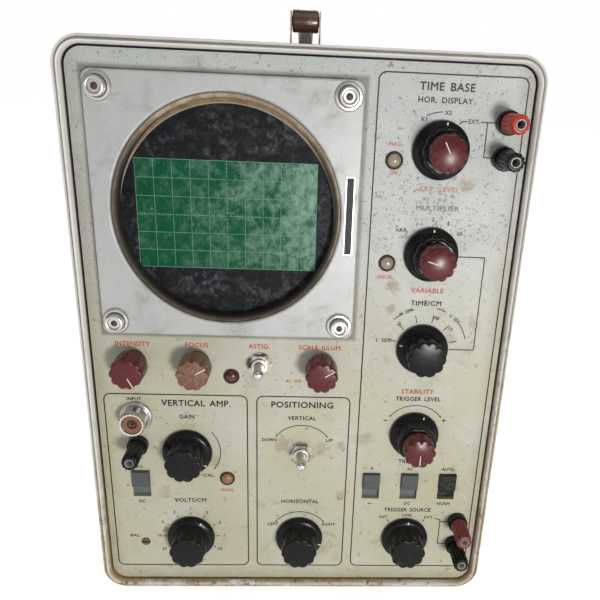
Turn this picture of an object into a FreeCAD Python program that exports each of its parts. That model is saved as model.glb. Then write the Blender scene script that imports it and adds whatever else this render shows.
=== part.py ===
import FreeCAD, Part
import os
import re
import Sketcher

# Five inch bench oscilloscope with a flat front panel, a round tube bezel and a strap handle.
# Millimetres. World frame: X right, Y from front to back, Z up, floor at Z = 0.
# Most pieces are drawn in the front frame: x right and y up from the middle of the panel,
# z out of the panel face towards the user. Places on the panel are (across, down) from its
# upper left corner, except the time base column, which keeps its distance from the right edge.

DIMENSIONS = {
    # panel, rim and cabinet
    "panel_wide": "244", "panel_tall": "330", "panel_thick": "3", "panel_corner": "10",
    "rim_wide": "5", "rim_corner": "15", "rim_floor": "4.5", "rim_back": "16", "rim_ledge": "3",
    "lip_wide": "1.4", "lip_proud": "6", "bead_wide": "2.4", "bead_proud": "7",
    "cabinet_deep": "505", "sheet_thick": "1.2", "cover_inset": "1", "cover_return": "32",
    "rear_thick": "2", "rail_size": "14", "seam_gap": "0.3", "fit_gap": "0.1", "panel_gap": "0.6",
    "vent_wide": "3", "vent_long": "70", "vent_pitch": "12", "vent_count": "12",
    "foot_tall": "13", "foot_radius": "12", "foot_inset": "30", "rear_foot": "27",
    "rear_foot_radius": "9", "screw_radius": "2", "screw_head": "3.6", "screw_long": "8",
    # tube, bezel and graticule
    "bezel_across": "81.4", "bezel_down": "81.5", "bezel_wide": "144.5", "bezel_tall": "141.7",
    "bezel_proud": "4", "bezel_corner": "5", "bezel_round": "1.2", "aperture": "62.4",
    "seal_thick": "1.3", "seal_gap": "0.2", "graticule_deep": "7.3", "graticule_thick": "3.2",
    "graticule_radius": "66.5", "tube_face": "65", "tube_neck": "25.5", "tube_long": "420",
    "tube_straight": "45", "tube_cone": "190", "shield_gap": "3", "shield_thick": "1",
    "shield_long": "395", "collar_long": "20", "collar_gap": "0.3", "socket_long": "16",
    "thumb_across": "63.9", "thumb_down": "62.5", "thumb_flange": "7.5", "thumb_radius": "5.25",
    "thumb_tall": "8", "thumb_flange_tall": "2.2", "stud_radius": "1.9", "thumb_bore": "3.1",
    "thumb_web": "3.5", "stud_proud_of_web": "1.2",
    "small_bevel": "0.6", "foot_bevel": "2", "bumper_out": "8", "core_corner": "3",
    "bell_corner": "8", "socket_lip": "1.5", "socket_tall": "4", "dome_tall": "9", "tip_tall": "3",
    "motor_gap": "3", "motor_bore_spare": "1", "banana_deep": "10",
    # chassis inside the cabinet
    "bulkhead_deep": "60", "plate_thick": "1.5", "deck_down": "153",
    "board_tall": "110", "board_long": "180", "board_apart": "85", "board_thick": "2",
    "core_wide": "110", "core_tall": "90", "core_long": "60", "bell_long": "22", "bell_step": "10",
    "core_deep": "300", "can_radius": "17.5", "can_tall": "72", "can_first": "255",
    "can_pitch": "45", "can_across": "100", "valve_radius": "10.5", "valve_tall": "54",
    "valve_first": "95", "valve_pitch": "52", "valve_left": "40", "valve_spread": "31",
    "fan_down": "235", "fan_radius": "66", "fan_hub": "15", "fan_deep": "24", "blade_thick": "2",
    "fan_clear": "8", "motor_radius": "30", "motor_long": "52", "motor_shaft": "3",
    "filter_radius": "74", "filter_thick": "12", "filter_frame": "4", "fan_opening": "70",
    "inlet_across": "80", "inlet_down": "90", "inlet_wide": "32", "inlet_tall": "24",
    "inlet_wall": "3", "inlet_flange": "2", "inlet_deep": "22", "inlet_hollow": "18",
    "inlet_pin_wide": "2", "inlet_pin_tall": "6", "inlet_pitch": "7",
    # handle
    "handle_setback": "28", "handle_long": "400", "handle_rise": "20", "strap_wide": "14.3",
    "strap_thick": "5", "eye_radius": "5.5", "pin_radius": "2.5", "pin_above": "14",
    "bracket_wide": "49", "bracket_long": "22", "bracket_thick": "1.7", "leg_thick": "0.8",
    "leg_long": "12", "leg_gap": "0.2",
    # shafts, bushings and nuts of the rotary controls
    "shaft": "3.175", "inner_shaft": "1.5875", "turn_gap": "0.05", "bushing": "4.7",
    "bushing_proud": "4.5", "bushing_gap": "0.1", "nut_flats": "12.7", "nut_thick": "2.4",
    "washer_radius": "7.9", "washer_thick": "0.6", "shaft_deep": "12", "inner_deep": "16",
    "pot_radius": "12", "pot_deep": "18", "switch_radius": "18", "switch_deep": "40",
    "trimmer_radius": "8", "trimmer_shaft": "2.9", "trimmer_proud": "0.6", "trimmer_slot": "1",
    "bare_shaft_proud": "18.5",
    # knobs
    "knob_clear": "0.8", "red_clear": "4.9", "recess_gap": "0.5", "recess_tall": "5.2", "shaft_stop": "3",
    "red_radius": "9.5", "red_proud": "20.5", "skirt_radius": "15.5", "skirt_tall": "4.6",
    "skirt_bevel": "1.6", "cap_radius": "11.4", "cap_proud": "19.5", "outer_radius": "12",
    "outer_proud": "15", "inner_radius": "9.7", "inner_gap": "0.4", "inner_proud": "27",
    "knob_round": "1", "lobe_count": "10", "flute_radius": "1.5", "flute_deep": "1.2",
    # slide switches
    "slot_wide": "11.3", "slot_tall": "19.5", "slot_deep": "4", "slider_tall": "10.8",
    "slider_gap": "0.2", "slider_proud": "3", "slider_plate": "1.8", "slider_round": "0.7",
    "slide_body_wide": "15", "slide_body_wall": "2", "slide_body_deep": "14",
    # lamps, connector and binding posts
    "lamp_radius": "4.4", "lamp_proud": "2.6", "lamp_dome": "1.4", "lamp_holder": "5.8",
    "lamp_deep": "20", "coax_radius": "7.94", "coax_proud": "13", "coax_bore": "5.4",
    "coax_ring": "10", "coax_ring_tall": "2.6", "coax_deep": "8", "coax_pin": "1.3",
    "coax_neck": "7.5",
    "post_base": "6.4", "post_base_tall": "5", "post_radius": "5", "post_proud": "24",
    "stud_proud": "12.5", "post_stud": "3.4", "post_deep": "12", "banana": "2.05",
    "post_flute": "1.1", "post_gap": "0.4",
    # columns and rows of the panel layout
    "column_input": "23.5", "column_gain": "53.8", "column_place": "125.3",
    "column_base": "47.7", "column_posts": "13", "switch_pitch": "25",
    "intensity_across": "24.2", "focus_across": "61.6", "astig_across": "99",
    "scale_across": "135.9", "pilot_across": "82", "uncal_across": "78.2", "base_lamp_in": "72.5",
    "row_beam": "171.2", "row_pilot": "179.2", "row_gain": "231.5", "row_volts": "295.5",
    "row_trim": "300.2", "row_uncal": "250.8", "row_coax": "207", "row_ground": "226.7",
    "row_slide": "255.3", "row_display": "44", "row_multiplier": "100.9", "row_time": "158.7",
    "row_trigger": "216.8", "row_lamp_upper": "50", "row_lamp_lower": "106.7",
    "row_post_top": "28.5", "row_post_next": "47", "row_post_low": "282", "row_post_last": "300",
    # worked out
    "panel_mid": "=foot_tall + rim_wide + panel_tall / 2",
    "panel_face": "=inner_proud - (inner_proud + cabinet_deep + rear_foot) / 2",
    "cover_wide": "=panel_wide + 2 * (rim_wide - cover_inset)",
    "cover_tall": "=panel_tall + 2 * (rim_wide - cover_inset)",
    "cover_corner": "=rim_corner - cover_inset",
    "rear_face": "=cabinet_deep - rear_thick",
    "deck_top": "=panel_tall / 2 - deck_down",
    "core_half": "=cover_wide / 2 - sheet_thick - rail_size",
    "base_x": "=panel_wide / 2 - column_base",
    "posts_x": "=panel_wide / 2 - column_posts",
    "bezel_x": "=bezel_across - panel_wide / 2",
    "bezel_y": "=panel_tall / 2 - bezel_down",
    "slider_travel": "=slot_tall - slider_tall - 2 * slider_gap",
}

document = FreeCAD.newDocument("oscilloscope")
sheet = document.addObject("Spreadsheet::Sheet", "dims")
Vector = FreeCAD.Vector
FACING = FreeCAD.Rotation(Vector(1, 0, 0), 90)
nodes = []


def fill_sheet():
    for row, (alias, content) in enumerate(DIMENSIONS.items(), start=1):
        sheet.set("A%d" % row, alias)
        sheet.set("B%d" % row, content)
        sheet.setAlias("B%d" % row, alias)
    document.recompute()


def bound(expression):
    """The expression with each dimension's name read from the sheet."""
    def qualified(match):
        word = match.group(0)
        return "dims." + word if word in DIMENSIONS else word
    return re.sub(r"[a-z_]+", qualified, str(expression))


def number(expression):
    found = sheet.evalExpression(bound(expression))
    return float(getattr(found, "Value", found))


# ---- drawing helpers ----

def fix_value(sketch, constraint, expression):
    index = sketch.addConstraint(constraint)
    sketch.setExpression("Constraints[%d]" % index, bound(expression))


def fix_point(sketch, edge, end, x, y):
    fix_value(sketch, Sketcher.Constraint("DistanceX", -1, 1, edge, end, number(x)), x)
    fix_value(sketch, Sketcher.Constraint("DistanceY", -1, 1, edge, end, number(y)), y)


def disc(x, y, radius):
    """A circle to draw in a sketch."""
    def drawn(sketch):
        centre = Vector(number(x), number(y), 0)
        edge = sketch.addGeometry(Part.Circle(centre, Vector(0, 0, 1), number(radius)), False)
        fix_point(sketch, edge, 3, x, y)
        fix_value(sketch, Sketcher.Constraint("Radius", edge, number(radius)), radius)
    return drawn


def outline(points):
    """A closed outline of straight edges to draw in a sketch."""
    def drawn(sketch):
        spots = [Vector(number(x), number(y), 0) for x, y in points]
        count = len(spots)
        first = sketch.GeometryCount
        sides = [Part.LineSegment(spots[i], spots[(i + 1) % count]) for i in range(count)]
        sketch.addGeometry(sides, False)
        for i in range(count):
            following = first + (i + 1) % count
            sketch.addConstraint(Sketcher.Constraint("Coincident", first + i, 2, following, 1))
        for i, (x, y) in enumerate(points):
            fix_point(sketch, first + i, 1, x, y)
    return drawn


def box_outline(x, y, wide, tall):
    """A rectangle about its middle to draw in a sketch."""
    left = "(%s) - (%s) / 2" % (x, wide)
    right = "(%s) + (%s) / 2" % (x, wide)
    low = "(%s) - (%s) / 2" % (y, tall)
    high = "(%s) + (%s) / 2" % (y, tall)
    return outline([(left, low), (right, low), (right, high), (left, high)])


def rounded(x, y, wide, tall, corner):
    """A rectangle with round corners, about its middle, to draw in a sketch."""
    def drawn(sketch):
        half_wide, half_tall, turn = number(wide) / 2, number(tall) / 2, number(corner)
        middle = Vector(number(x), number(y), 0)
        first = sketch.GeometryCount
        edges = []
        for quarter in range(4):
            way = FreeCAD.Rotation(Vector(0, 0, 1), 90 * quarter)
            across, up = (half_wide, half_tall) if quarter % 2 == 0 else (half_tall, half_wide)
            start = way.multVec(Vector(turn - across, -up, 0))
            end = way.multVec(Vector(across - turn, -up, 0))
            pivot = way.multVec(Vector(across - turn, turn - up, 0))
            edges.append(Part.LineSegment(middle + start, middle + end))
            circle = Part.Circle(middle + pivot, Vector(0, 0, 1), turn)
            begin = (quarter * 90 - 90) * 0.017453292519943295
            edges.append(Part.ArcOfCircle(circle, begin, begin + 1.5707963267948966))
        sketch.addGeometry(edges, False)
        for i in range(8):
            following = first + (i + 1) % 8
            sketch.addConstraint(Sketcher.Constraint("Tangent", first + i, 2, following, 1))
        for i in (0, 4):
            sketch.addConstraint(Sketcher.Constraint("Horizontal", first + i))
            sketch.addConstraint(Sketcher.Constraint("Vertical", first + i + 2))
        for i in (3, 5, 7):
            sketch.addConstraint(Sketcher.Constraint("Equal", first + 1, first + i))
        fix_value(sketch, Sketcher.Constraint("Radius", first + 1, turn), corner)
        low = "(%s) - (%s) / 2" % (y, tall)
        high = "(%s) + (%s) / 2" % (y, tall)
        left = "(%s) - (%s) / 2" % (x, wide)
        right = "(%s) + (%s) / 2" % (x, wide)
        for edge, axis, place in ((0, "DistanceY", low), (4, "DistanceY", high),
                                  (6, "DistanceX", left), (2, "DistanceX", right)):
            fix_value(sketch, Sketcher.Constraint(axis, -1, 1, first + edge, 1, number(place)), place)
    return drawn


def new_body(label):
    body = document.addObject("PartDesign::Body", label + "_body")
    body.Label = label
    return body


def new_sketch(body, role, offset, shapes):
    plane = next(item for item in body.Origin.OriginFeatures if item.Role == role)
    sketch = body.newObject("Sketcher::SketchObject", body.Name + "_sketch")
    sketch.AttachmentSupport = [(plane, "")]
    sketch.MapMode = "FlatFace"
    sketch.setExpression("AttachmentOffset.Base.z", bound(offset))
    for drawn in shapes:
        drawn(sketch)
    return sketch


def layer(body, shapes, back, front, role="XY_Plane"):
    """Add material between two heights over the body's plane."""
    sketch = new_sketch(body, role, back, shapes)
    pad = body.newObject("PartDesign::Pad", body.Name + "_pad")
    pad.Profile = sketch
    pad.setExpression("Length", bound("(%s) - (%s)" % (front, back)))
    document.recompute()
    return pad


def cut(body, shapes, back, front, role="XY_Plane"):
    """Take material away between two heights over the body's plane."""
    before = body.Shape.Volume
    sketch = new_sketch(body, role, front, shapes)
    pocket = body.newObject("PartDesign::Pocket", body.Name + "_pocket")
    pocket.Profile = sketch
    pocket.setExpression("Length", bound("(%s) - (%s)" % (front, back)))
    document.recompute()
    if body.Shape.Volume >= before:
        raise ValueError(body.Label + ": a pocket cuts nothing")
    return pocket


def turned(label, points):
    """A body turned about z from corners given as (radius, height)."""
    body = new_body(label)
    sketch = new_sketch(body, "XZ_Plane", "0", [outline(points)])
    turn = body.newObject("PartDesign::Revolution", label + "_turn")
    turn.Profile = sketch
    turn.ReferenceAxis = (sketch, ["V_Axis"])
    turn.Angle = 360
    document.recompute()
    return body


def flute(body, radius, cutter, low, high, deep="flute_deep"):
    """Grip flutes cut round a turned body."""
    before = body.Shape.Volume
    middle = "(%s) + (%s) - (%s)" % (radius, cutter, deep)
    pocket = cut(body, [disc("0", middle, cutter)], low, high)
    pattern = body.newObject("PartDesign::PolarPattern", body.Name + "_flutes")
    pattern.Originals = [pocket]
    pattern.Axis = (pocket.Profile[0], ["N_Axis"])
    pattern.Angle = 360
    pattern.setExpression("Occurrences", bound("lobe_count"))
    body.Tip = pattern
    document.recompute()
    if body.Shape.Volume >= before:
        raise ValueError(body.Label + ": the flutes cut nothing")


def round_top(body, feature, level, radius):
    """Round every edge that lies in the top face of a layer."""
    top = number(level)
    edges = ["Edge%d" % (i + 1) for i, edge in enumerate(feature.Shape.Edges)
             if abs(edge.BoundBox.ZMin - top) < 1e-6]
    fillet = body.newObject("PartDesign::Fillet", body.Name + "_round")
    fillet.Base = (feature, edges)
    fillet.setExpression("Radius", bound(radius))
    document.recompute()


def set_place(item, x, y, z):
    for axis, expression in zip("xyz", (x, y, z)):
        item.setExpression("Placement.Base." + axis, bound(expression))


def in_front_frame(item, x="0", y="0", z="0"):
    """Stand a piece that is drawn in the front frame in the world, moved by x, y, z."""
    item.Placement = FreeCAD.Placement(Vector(), FACING)
    set_place(item, x, "panel_face - (%s)" % z, "panel_mid + (%s)" % y)
    return item


def copy_of(source, label):
    link = document.addObject("App::Link", label)
    link.setLink(source)
    link.LinkTransform = False
    return link


def group(label, pieces):
    """One node of several separate solids."""
    compound = document.addObject("Part::Compound", label + "_group")
    compound.Label = label
    compound.Links = pieces
    return compound


def node(item):
    nodes.append(item)
    return item


def across(place):
    return "%s - panel_wide / 2" % place


def down(place):
    return "panel_tall / 2 - %s" % place


def row_of(label, source, spots):
    """A node with one copy of a piece at each (x, y) of the front frame."""
    copies = []
    for i, (x, y) in enumerate(spots):
        copies.append(in_front_frame(copy_of(source, "%s_%d" % (label, i)), x, y))
    return copies


# ---- layout of the panel ----

CANS = 5
VALVE_ROWS = 7
VALVE_COLUMNS = 3
BLADES = 5
BLADE_TILT = 35
THUMB_SPOTS = [("bezel_x + %d * thumb_across" % i, "bezel_y + %d * thumb_down" % k)
               for k in (1, -1) for i in (-1, 1)]
POT_SPOTS = [(across("intensity_across"), down("row_beam")), (across("focus_across"), down("row_beam")),
             (across("astig_across"), down("row_beam")), (across("scale_across"), down("row_beam")),
             (across("column_gain"), down("row_gain")), (across("column_place"), down("row_gain")),
             (across("column_place"), down("row_volts")), ("base_x", down("row_trigger"))]
SWITCH_SPOTS = [(across("column_gain"), down("row_volts")), ("base_x", down("row_display")),
                ("base_x", down("row_multiplier")), ("base_x", down("row_time")),
                ("base_x", down("row_volts"))]
TRIM_SPOT = (across("column_input"), down("row_trim"))
SLIDE_SPOTS = {"input_coupling_slider": (across("column_input"), down("row_slide")),
               "trigger_slope_slider": ("base_x - switch_pitch", down("row_slide")),
               "trigger_coupling_slider": ("base_x", down("row_slide")),
               "trigger_mode_slider": ("base_x + switch_pitch", down("row_slide"))}
LAMP_SPOTS = [(across("pilot_across"), down("row_pilot")), (across("uncal_across"), down("row_uncal")),
              ("panel_wide / 2 - base_lamp_in", down("row_lamp_upper")),
              ("panel_wide / 2 - base_lamp_in", down("row_lamp_lower"))]
COAX_SPOT = (across("column_input"), down("row_coax"))
POST_SPOTS = {"post_cap_time_upper": ("posts_x", down("row_post_top")),
              "post_cap_time_ground": ("posts_x", down("row_post_next")),
              "post_cap_trigger": ("posts_x", down("row_post_low")),
              "post_cap_trigger_ground": ("posts_x", down("row_post_last")),
              "post_cap_input_ground": (across("column_input"), down("row_ground"))}


# ---- front ----

def make_panel():
    panel = new_body("front_panel")
    layer(panel, [rounded("0", "0", "panel_wide - 2 * panel_gap", "panel_tall - 2 * panel_gap",
                          "panel_corner - panel_gap")], "-panel_thick", "0")
    holes = [disc("bezel_x", "bezel_y", "aperture + seal_gap")]
    holes += [disc(x, y, "stud_radius") for x, y in THUMB_SPOTS]
    holes += [disc(x, y, "bushing + bushing_gap") for x, y in POT_SPOTS + SWITCH_SPOTS]
    holes += [disc(TRIM_SPOT[0], TRIM_SPOT[1], "trimmer_shaft + turn_gap")]
    holes += [box_outline(x, y, "slot_wide", "slot_tall") for x, y in SLIDE_SPOTS.values()]
    holes += [disc(x, y, "lamp_radius + fit_gap") for x, y in LAMP_SPOTS]
    holes += [disc(COAX_SPOT[0], COAX_SPOT[1], "coax_neck")]
    holes += [disc(x, y, "post_stud") for x, y in POST_SPOTS.values()]
    cut(panel, holes, "-panel_thick", "0")
    node(in_front_frame(panel))


def make_rim():
    """Cast rim round the panel: a ledge behind it, a floor, a thin lip and a round bead."""
    rim = new_body("front_rim")
    outside = rounded("0", "0", "panel_wide + 2 * rim_wide", "panel_tall + 2 * rim_wide", "rim_corner")
    inside = rounded("0", "0", "panel_wide", "panel_tall", "panel_corner")
    ledge = rounded("0", "0", "panel_wide - 2 * rim_ledge", "panel_tall - 2 * rim_ledge",
                    "panel_corner - rim_ledge")
    in_lip = rounded("0", "0", "panel_wide + 2 * (rim_wide - lip_wide)",
                     "panel_tall + 2 * (rim_wide - lip_wide)", "rim_corner - lip_wide")
    bead = rounded("0", "0", "panel_wide + 2 * bead_wide", "panel_tall + 2 * bead_wide",
                   "panel_corner + bead_wide")
    layer(rim, [outside, ledge], "-rim_back", "-panel_thick")
    layer(rim, [outside, inside], "-panel_thick", "rim_floor")
    layer(rim, [outside, in_lip], "rim_floor", "lip_proud")
    crown = layer(rim, [bead, inside], "rim_floor", "bead_proud")
    round_top(rim, crown, "bead_proud", "bead_wide * 0.48")
    node(in_front_frame(rim))


def make_bezel():
    bezel = new_body("crt_bezel")
    plate = layer(bezel, [rounded("bezel_x", "bezel_y", "bezel_wide", "bezel_tall", "bezel_corner"),
                          disc("bezel_x", "bezel_y", "aperture")], "0", "bezel_proud")
    round_top(bezel, plate, "bezel_proud", "bezel_round")
    cut(bezel, [disc(x, y, "stud_radius") for x, y in THUMB_SPOTS], "0", "bezel_proud")
    node(in_front_frame(bezel))


def make_thumb_nuts():
    nut = turned("thumb_nut", [("stud_radius", "bezel_proud"), ("thumb_flange", "bezel_proud"),
                               ("thumb_flange", "bezel_proud + thumb_flange_tall - small_bevel"),
                               ("thumb_flange - 0.9", "bezel_proud + thumb_flange_tall"),
                               ("thumb_radius", "bezel_proud + thumb_flange_tall"),
                               ("thumb_radius", "bezel_proud + thumb_tall - 1"),
                               ("thumb_radius - 1", "bezel_proud + thumb_tall"),
                               ("thumb_bore + 0.5", "bezel_proud + thumb_tall"),
                               ("thumb_bore", "bezel_proud + thumb_tall - 0.5"),
                               ("thumb_bore", "bezel_proud + thumb_web"),
                               ("stud_radius", "bezel_proud + thumb_web")])
    stud = turned("thumb_stud", [("0", "-panel_thick"), ("stud_radius", "-panel_thick"),
                                 ("stud_radius", "bezel_proud + thumb_web + stud_proud_of_web"),
                                 ("0", "bezel_proud + thumb_web + stud_proud_of_web")])
    node(group("bezel_thumb_nuts", row_of("thumb_nut", nut, THUMB_SPOTS)
               + row_of("thumb_stud", stud, THUMB_SPOTS)))


def at_tube(item):
    return in_front_frame(item, "bezel_x", "bezel_y")


def make_tube():
    seal = turned("light_seal", [("aperture - seal_thick", "-graticule_deep"),
                                 ("aperture - seal_gap", "-graticule_deep"),
                                 ("aperture - seal_gap", "bezel_proud - bezel_round"),
                                 ("aperture - seal_thick", "bezel_proud - bezel_round")])
    node(at_tube(seal))
    graticule = new_body("graticule")
    layer(graticule, [disc("0", "0", "graticule_radius")], "-graticule_deep - graticule_thick",
          "-graticule_deep")
    node(at_tube(graticule))
    face = "-graticule_deep - graticule_thick - seam_gap"
    waist = "%s - tube_straight" % face
    throat = "%s - tube_cone" % waist
    end = "%s - tube_long" % face
    envelope = turned("tube_envelope", [("0", face), ("tube_face - 3", face), ("tube_face", face + " - 3"),
                                        ("tube_face", waist), ("tube_neck", throat),
                                        ("tube_neck", end), ("0", end)])
    socket = turned("tube_socket", [("0", end), ("tube_neck + 1", end),
                                    ("tube_neck + 1", end + " - socket_long"),
                                    ("0", end + " - socket_long")])
    node(at_tube(group("crt", [envelope, socket])))
    inner = "tube_face + shield_gap"
    neck = "tube_neck + shield_gap"
    shield = turned("crt_shield", [(inner, "-panel_thick"), (inner + " + shield_thick", "-panel_thick"),
                                   (inner + " + shield_thick", waist),
                                   (neck + " + shield_thick", throat),
                                   (neck + " + shield_thick", "-shield_long"),
                                   ("tube_neck + collar_gap", "-shield_long"),
                                   ("tube_neck + collar_gap", "-shield_long + collar_long"),
                                   (neck, "-shield_long + collar_long"), (neck, throat),
                                   (inner, waist)])
    node(at_tube(shield))


def make_chassis():
    hole = "tube_face + shield_gap + shield_thick + collar_gap"
    bulkhead = new_body("bulkhead")
    layer(bulkhead, [box_outline("0", "0", "2 * core_half", "cover_tall - 2 * sheet_thick"),
                     disc("bezel_x", "bezel_y", hole)], "-bulkhead_deep - plate_thick",
          "-bulkhead_deep")
    deck = new_body("deck")
    layer(deck, [box_outline("0", "deck_top - plate_thick / 2", "2 * core_half", "plate_thick")],
          "-rear_face", "-bulkhead_deep - plate_thick")
    node(in_front_frame(group("chassis_plates", [bulkhead, deck])))
    core = new_body("rail_core")
    layer(core, [rounded("0", "0", "cover_wide - 2 * sheet_thick", "cover_tall - 2 * sheet_thick",
                         "cover_corner - sheet_thick")], "-rear_face", "-rim_back")
    high = "cover_tall / 2 - sheet_thick - rail_size / 2"
    cross = new_body("rail_cross")
    layer(cross, [box_outline("0", "0", "2 * core_half", "cover_tall")], "-rear_face", "-rim_back")
    layer(cross, [box_outline("0", "0", "cover_wide", "2 * (%s) - rail_size" % high)],
          "-rear_face", "-rim_back")
    corners = document.addObject("Part::Cut", "rail_corners")
    corners.Base = core
    corners.Tool = cross
    rails = document.addObject("Part::Cut", "chassis_rails_cut")
    rails.Label = "chassis_rails"
    rails.Base = corners
    rails.Tool = screw_set("rail_hole")
    node(in_front_frame(rails))
    board = new_body("terminal_board")
    layer(board, [box_outline("0", "deck_top - plate_thick - board_tall / 2", "board_thick",
                              "board_tall")], "-bulkhead_deep - plate_thick - board_long",
          "-bulkhead_deep - plate_thick")
    pair = []
    for side in (-1, 1):
        copy = copy_of(board, "terminal_board_copy")
        copy.setExpression("Placement.Base.x", bound("%d * board_apart" % side))
        pair.append(copy)
    node(in_front_frame(group("terminal_boards", pair)))


VENT_START = "cabinet_deep * 3 / 4"
SCREW_DEPTHS = ["rim_back + 12", "cabinet_deep / 2", "rear_face - 12"]


def screw_set(label):
    """Four lines of cover screws along the rails, heads outside the side covers."""
    out = "cover_wide / 2"
    screw = document.getObject("cover_screw_body")
    if screw is None:
        screw = turned("cover_screw", [("0", "-screw_long"), ("screw_radius", "-screw_long"),
                                       ("screw_radius", "0"), ("screw_head", "0"),
                                       ("screw_head - 0.8", "cover_inset * 0.9"),
                                       ("0", "cover_inset * 0.9")])
    copies = []
    for side in (-1, 1):
        turn = FreeCAD.Rotation(Vector(0, 1, 0), 90 * side)
        for level in (-1, 1):
            for depth in SCREW_DEPTHS:
                copy = copy_of(screw, label + "_copy")
                copy.Placement = FreeCAD.Placement(Vector(), turn)
                height = "%d * (cover_tall / 2 - cover_corner - screw_head / 2)" % level
                set_place(copy, "%d * %s" % (side, out), height, "-(%s)" % depth)
                copies.append(copy)
    return group(label, copies)


def make_covers():
    ring = [rounded("0", "0", "cover_wide", "cover_tall", "cover_corner"),
            rounded("0", "0", "cover_wide - 2 * sheet_thick", "cover_tall - 2 * sheet_thick",
                    "cover_corner - sheet_thick")]
    for side, label in ((-1, "left_cover"), (1, "right_cover")):
        shell = new_body(label + "_shell")
        layer(shell, ring, "-rear_face", "-rim_back")
        kept = "cover_wide - cover_return"
        middle = "%d * (-cover_return / 2 - 1)" % side
        cut(shell, [box_outline(middle, "0", kept + " + 2", "cover_tall + 2")], "-rear_face",
            "-rim_back")
        wall = "%d * (cover_wide - sheet_thick) / 2" % side
        vent = box_outline("0", "-(%s)" % VENT_START, "vent_long", "vent_wide")
        pocket = cut(shell, [vent], wall + " - sheet_thick", wall + " + sheet_thick", "YZ_Plane")
        pattern = shell.newObject("PartDesign::LinearPattern", label + "_vents")
        pattern.Originals = [pocket]
        pattern.Direction = (pocket.Profile[0], ["V_Axis"])
        pattern.setExpression("Length", bound("vent_pitch * (vent_count - 1)"))
        pattern.setExpression("Occurrences", bound("vent_count"))
        shell.Tip = pattern
        document.recompute()
        cover = document.addObject("Part::Cut", label + "_cut")
        cover.Label = label
        cover.Base = shell
        cover.Tool = screw_set(label + "_hole")
        node(in_front_frame(cover))
    strip = "cover_wide - 2 * cover_return - 2 * seam_gap"
    for level, label in ((1, "top_cover"), (-1, "bottom_cover")):
        sheet_body = new_body(label)
        layer(sheet_body, [box_outline("0", "%d * (cover_tall - sheet_thick) / 2" % level, strip,
                                       "sheet_thick")], "-rear_face", "-rim_back")
        node(in_front_frame(sheet_body))
    node(in_front_frame(screw_set("cover_screws")))


def make_rear():
    rear = new_body("rear_panel")
    layer(rear, [rounded("0", "0", "panel_wide + 2 * rim_wide", "panel_tall + 2 * rim_wide",
                         "rim_corner"), disc("0", down("fan_down"), "fan_opening"),
                 box_outline("inlet_across", down("inlet_down"), "inlet_wide", "inlet_tall")],
          "-cabinet_deep", "-rear_face")
    node(in_front_frame(rear))
    foam = new_body("filter_foam")
    layer(foam, [disc("0", "0", "filter_radius")], "-cabinet_deep - filter_thick", "-cabinet_deep")
    frame = new_body("filter_frame")
    layer(frame, [disc("0", "0", "filter_radius + filter_frame"), disc("0", "0", "filter_radius")],
          "-cabinet_deep - filter_thick", "-cabinet_deep")
    layer(frame, [disc("0", "0", "filter_radius + filter_frame"),
                  disc("0", "0", "filter_radius - filter_frame")],
          "-cabinet_deep - filter_thick - sheet_thick", "-cabinet_deep - filter_thick")
    node(in_front_frame(group("air_filter", [foam, frame]), "0", down("fan_down")))
    inlet = new_body("inlet_shell")
    mouth = "-cabinet_deep - inlet_flange"
    floor = mouth + " + inlet_hollow"
    layer(inlet, [box_outline("0", "0", "inlet_wide", "inlet_tall")], "-cabinet_deep",
          "-cabinet_deep + inlet_deep")
    layer(inlet, [box_outline("0", "0", "inlet_wide + 4 * inlet_wall", "inlet_tall + 2 * inlet_wall")],
          mouth, "-cabinet_deep")
    sketch = new_sketch(inlet, "XY_Plane", mouth,
                        [box_outline("0", "0", "inlet_wide - 2 * inlet_wall",
                                     "inlet_tall - 2 * inlet_wall")])
    hollow = inlet.newObject("PartDesign::Pocket", "inlet_hollow_cut")
    hollow.Profile = sketch
    hollow.Reversed = True
    hollow.setExpression("Length", bound("inlet_hollow"))
    pin = new_body("inlet_pin")
    layer(pin, [box_outline("0", "0", "inlet_pin_wide", "inlet_pin_tall")], "-cabinet_deep", floor)
    pins = []
    for side in (-1, 0, 1):
        copy = copy_of(pin, "inlet_pin_copy")
        copy.setExpression("Placement.Base.x", bound("%d * inlet_pitch" % side))
        pins.append(copy)
    node(in_front_frame(group("power_inlet", [inlet] + pins), "inlet_across", down("inlet_down")))


def make_feet():
    foot = turned("rubber_foot", [("0", "0"), ("foot_radius - foot_bevel", "0"),
                                  ("foot_radius", "foot_tall - foot_bevel"),
                                  ("foot_radius", "foot_tall + cover_inset"),
                                  ("0", "foot_tall + cover_inset")])
    stand = turned("rear_bumper", [("0", "0"), ("rear_foot_radius", "0"),
                                   ("rear_foot_radius", "rear_foot - foot_bevel"),
                                   ("rear_foot_radius - foot_bevel", "rear_foot"), ("0", "rear_foot")])
    pieces = []
    for side in (-1, 1):
        for depth in ("foot_inset + rim_back", "rear_face - foot_inset"):
            copy = copy_of(foot, "foot_copy")
            set_place(copy, "%d * (cover_wide / 2 - foot_inset)" % side, "panel_face + %s" % depth, "0")
            pieces.append(copy)
    for side in (-1, 1):
        for level in (-1, 1):
            copy = copy_of(stand, "bumper_copy")
            copy.Placement = FreeCAD.Placement(Vector(), FreeCAD.Rotation(Vector(1, 0, 0), -90))
            set_place(copy, "%d * (panel_wide / 2 - foot_inset + bumper_out)" % side,
                      "panel_face + cabinet_deep",
                      "panel_mid + %d * (panel_tall / 2 - foot_inset + bumper_out)" % level)
            pieces.append(copy)
    node(group("feet", pieces))


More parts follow.
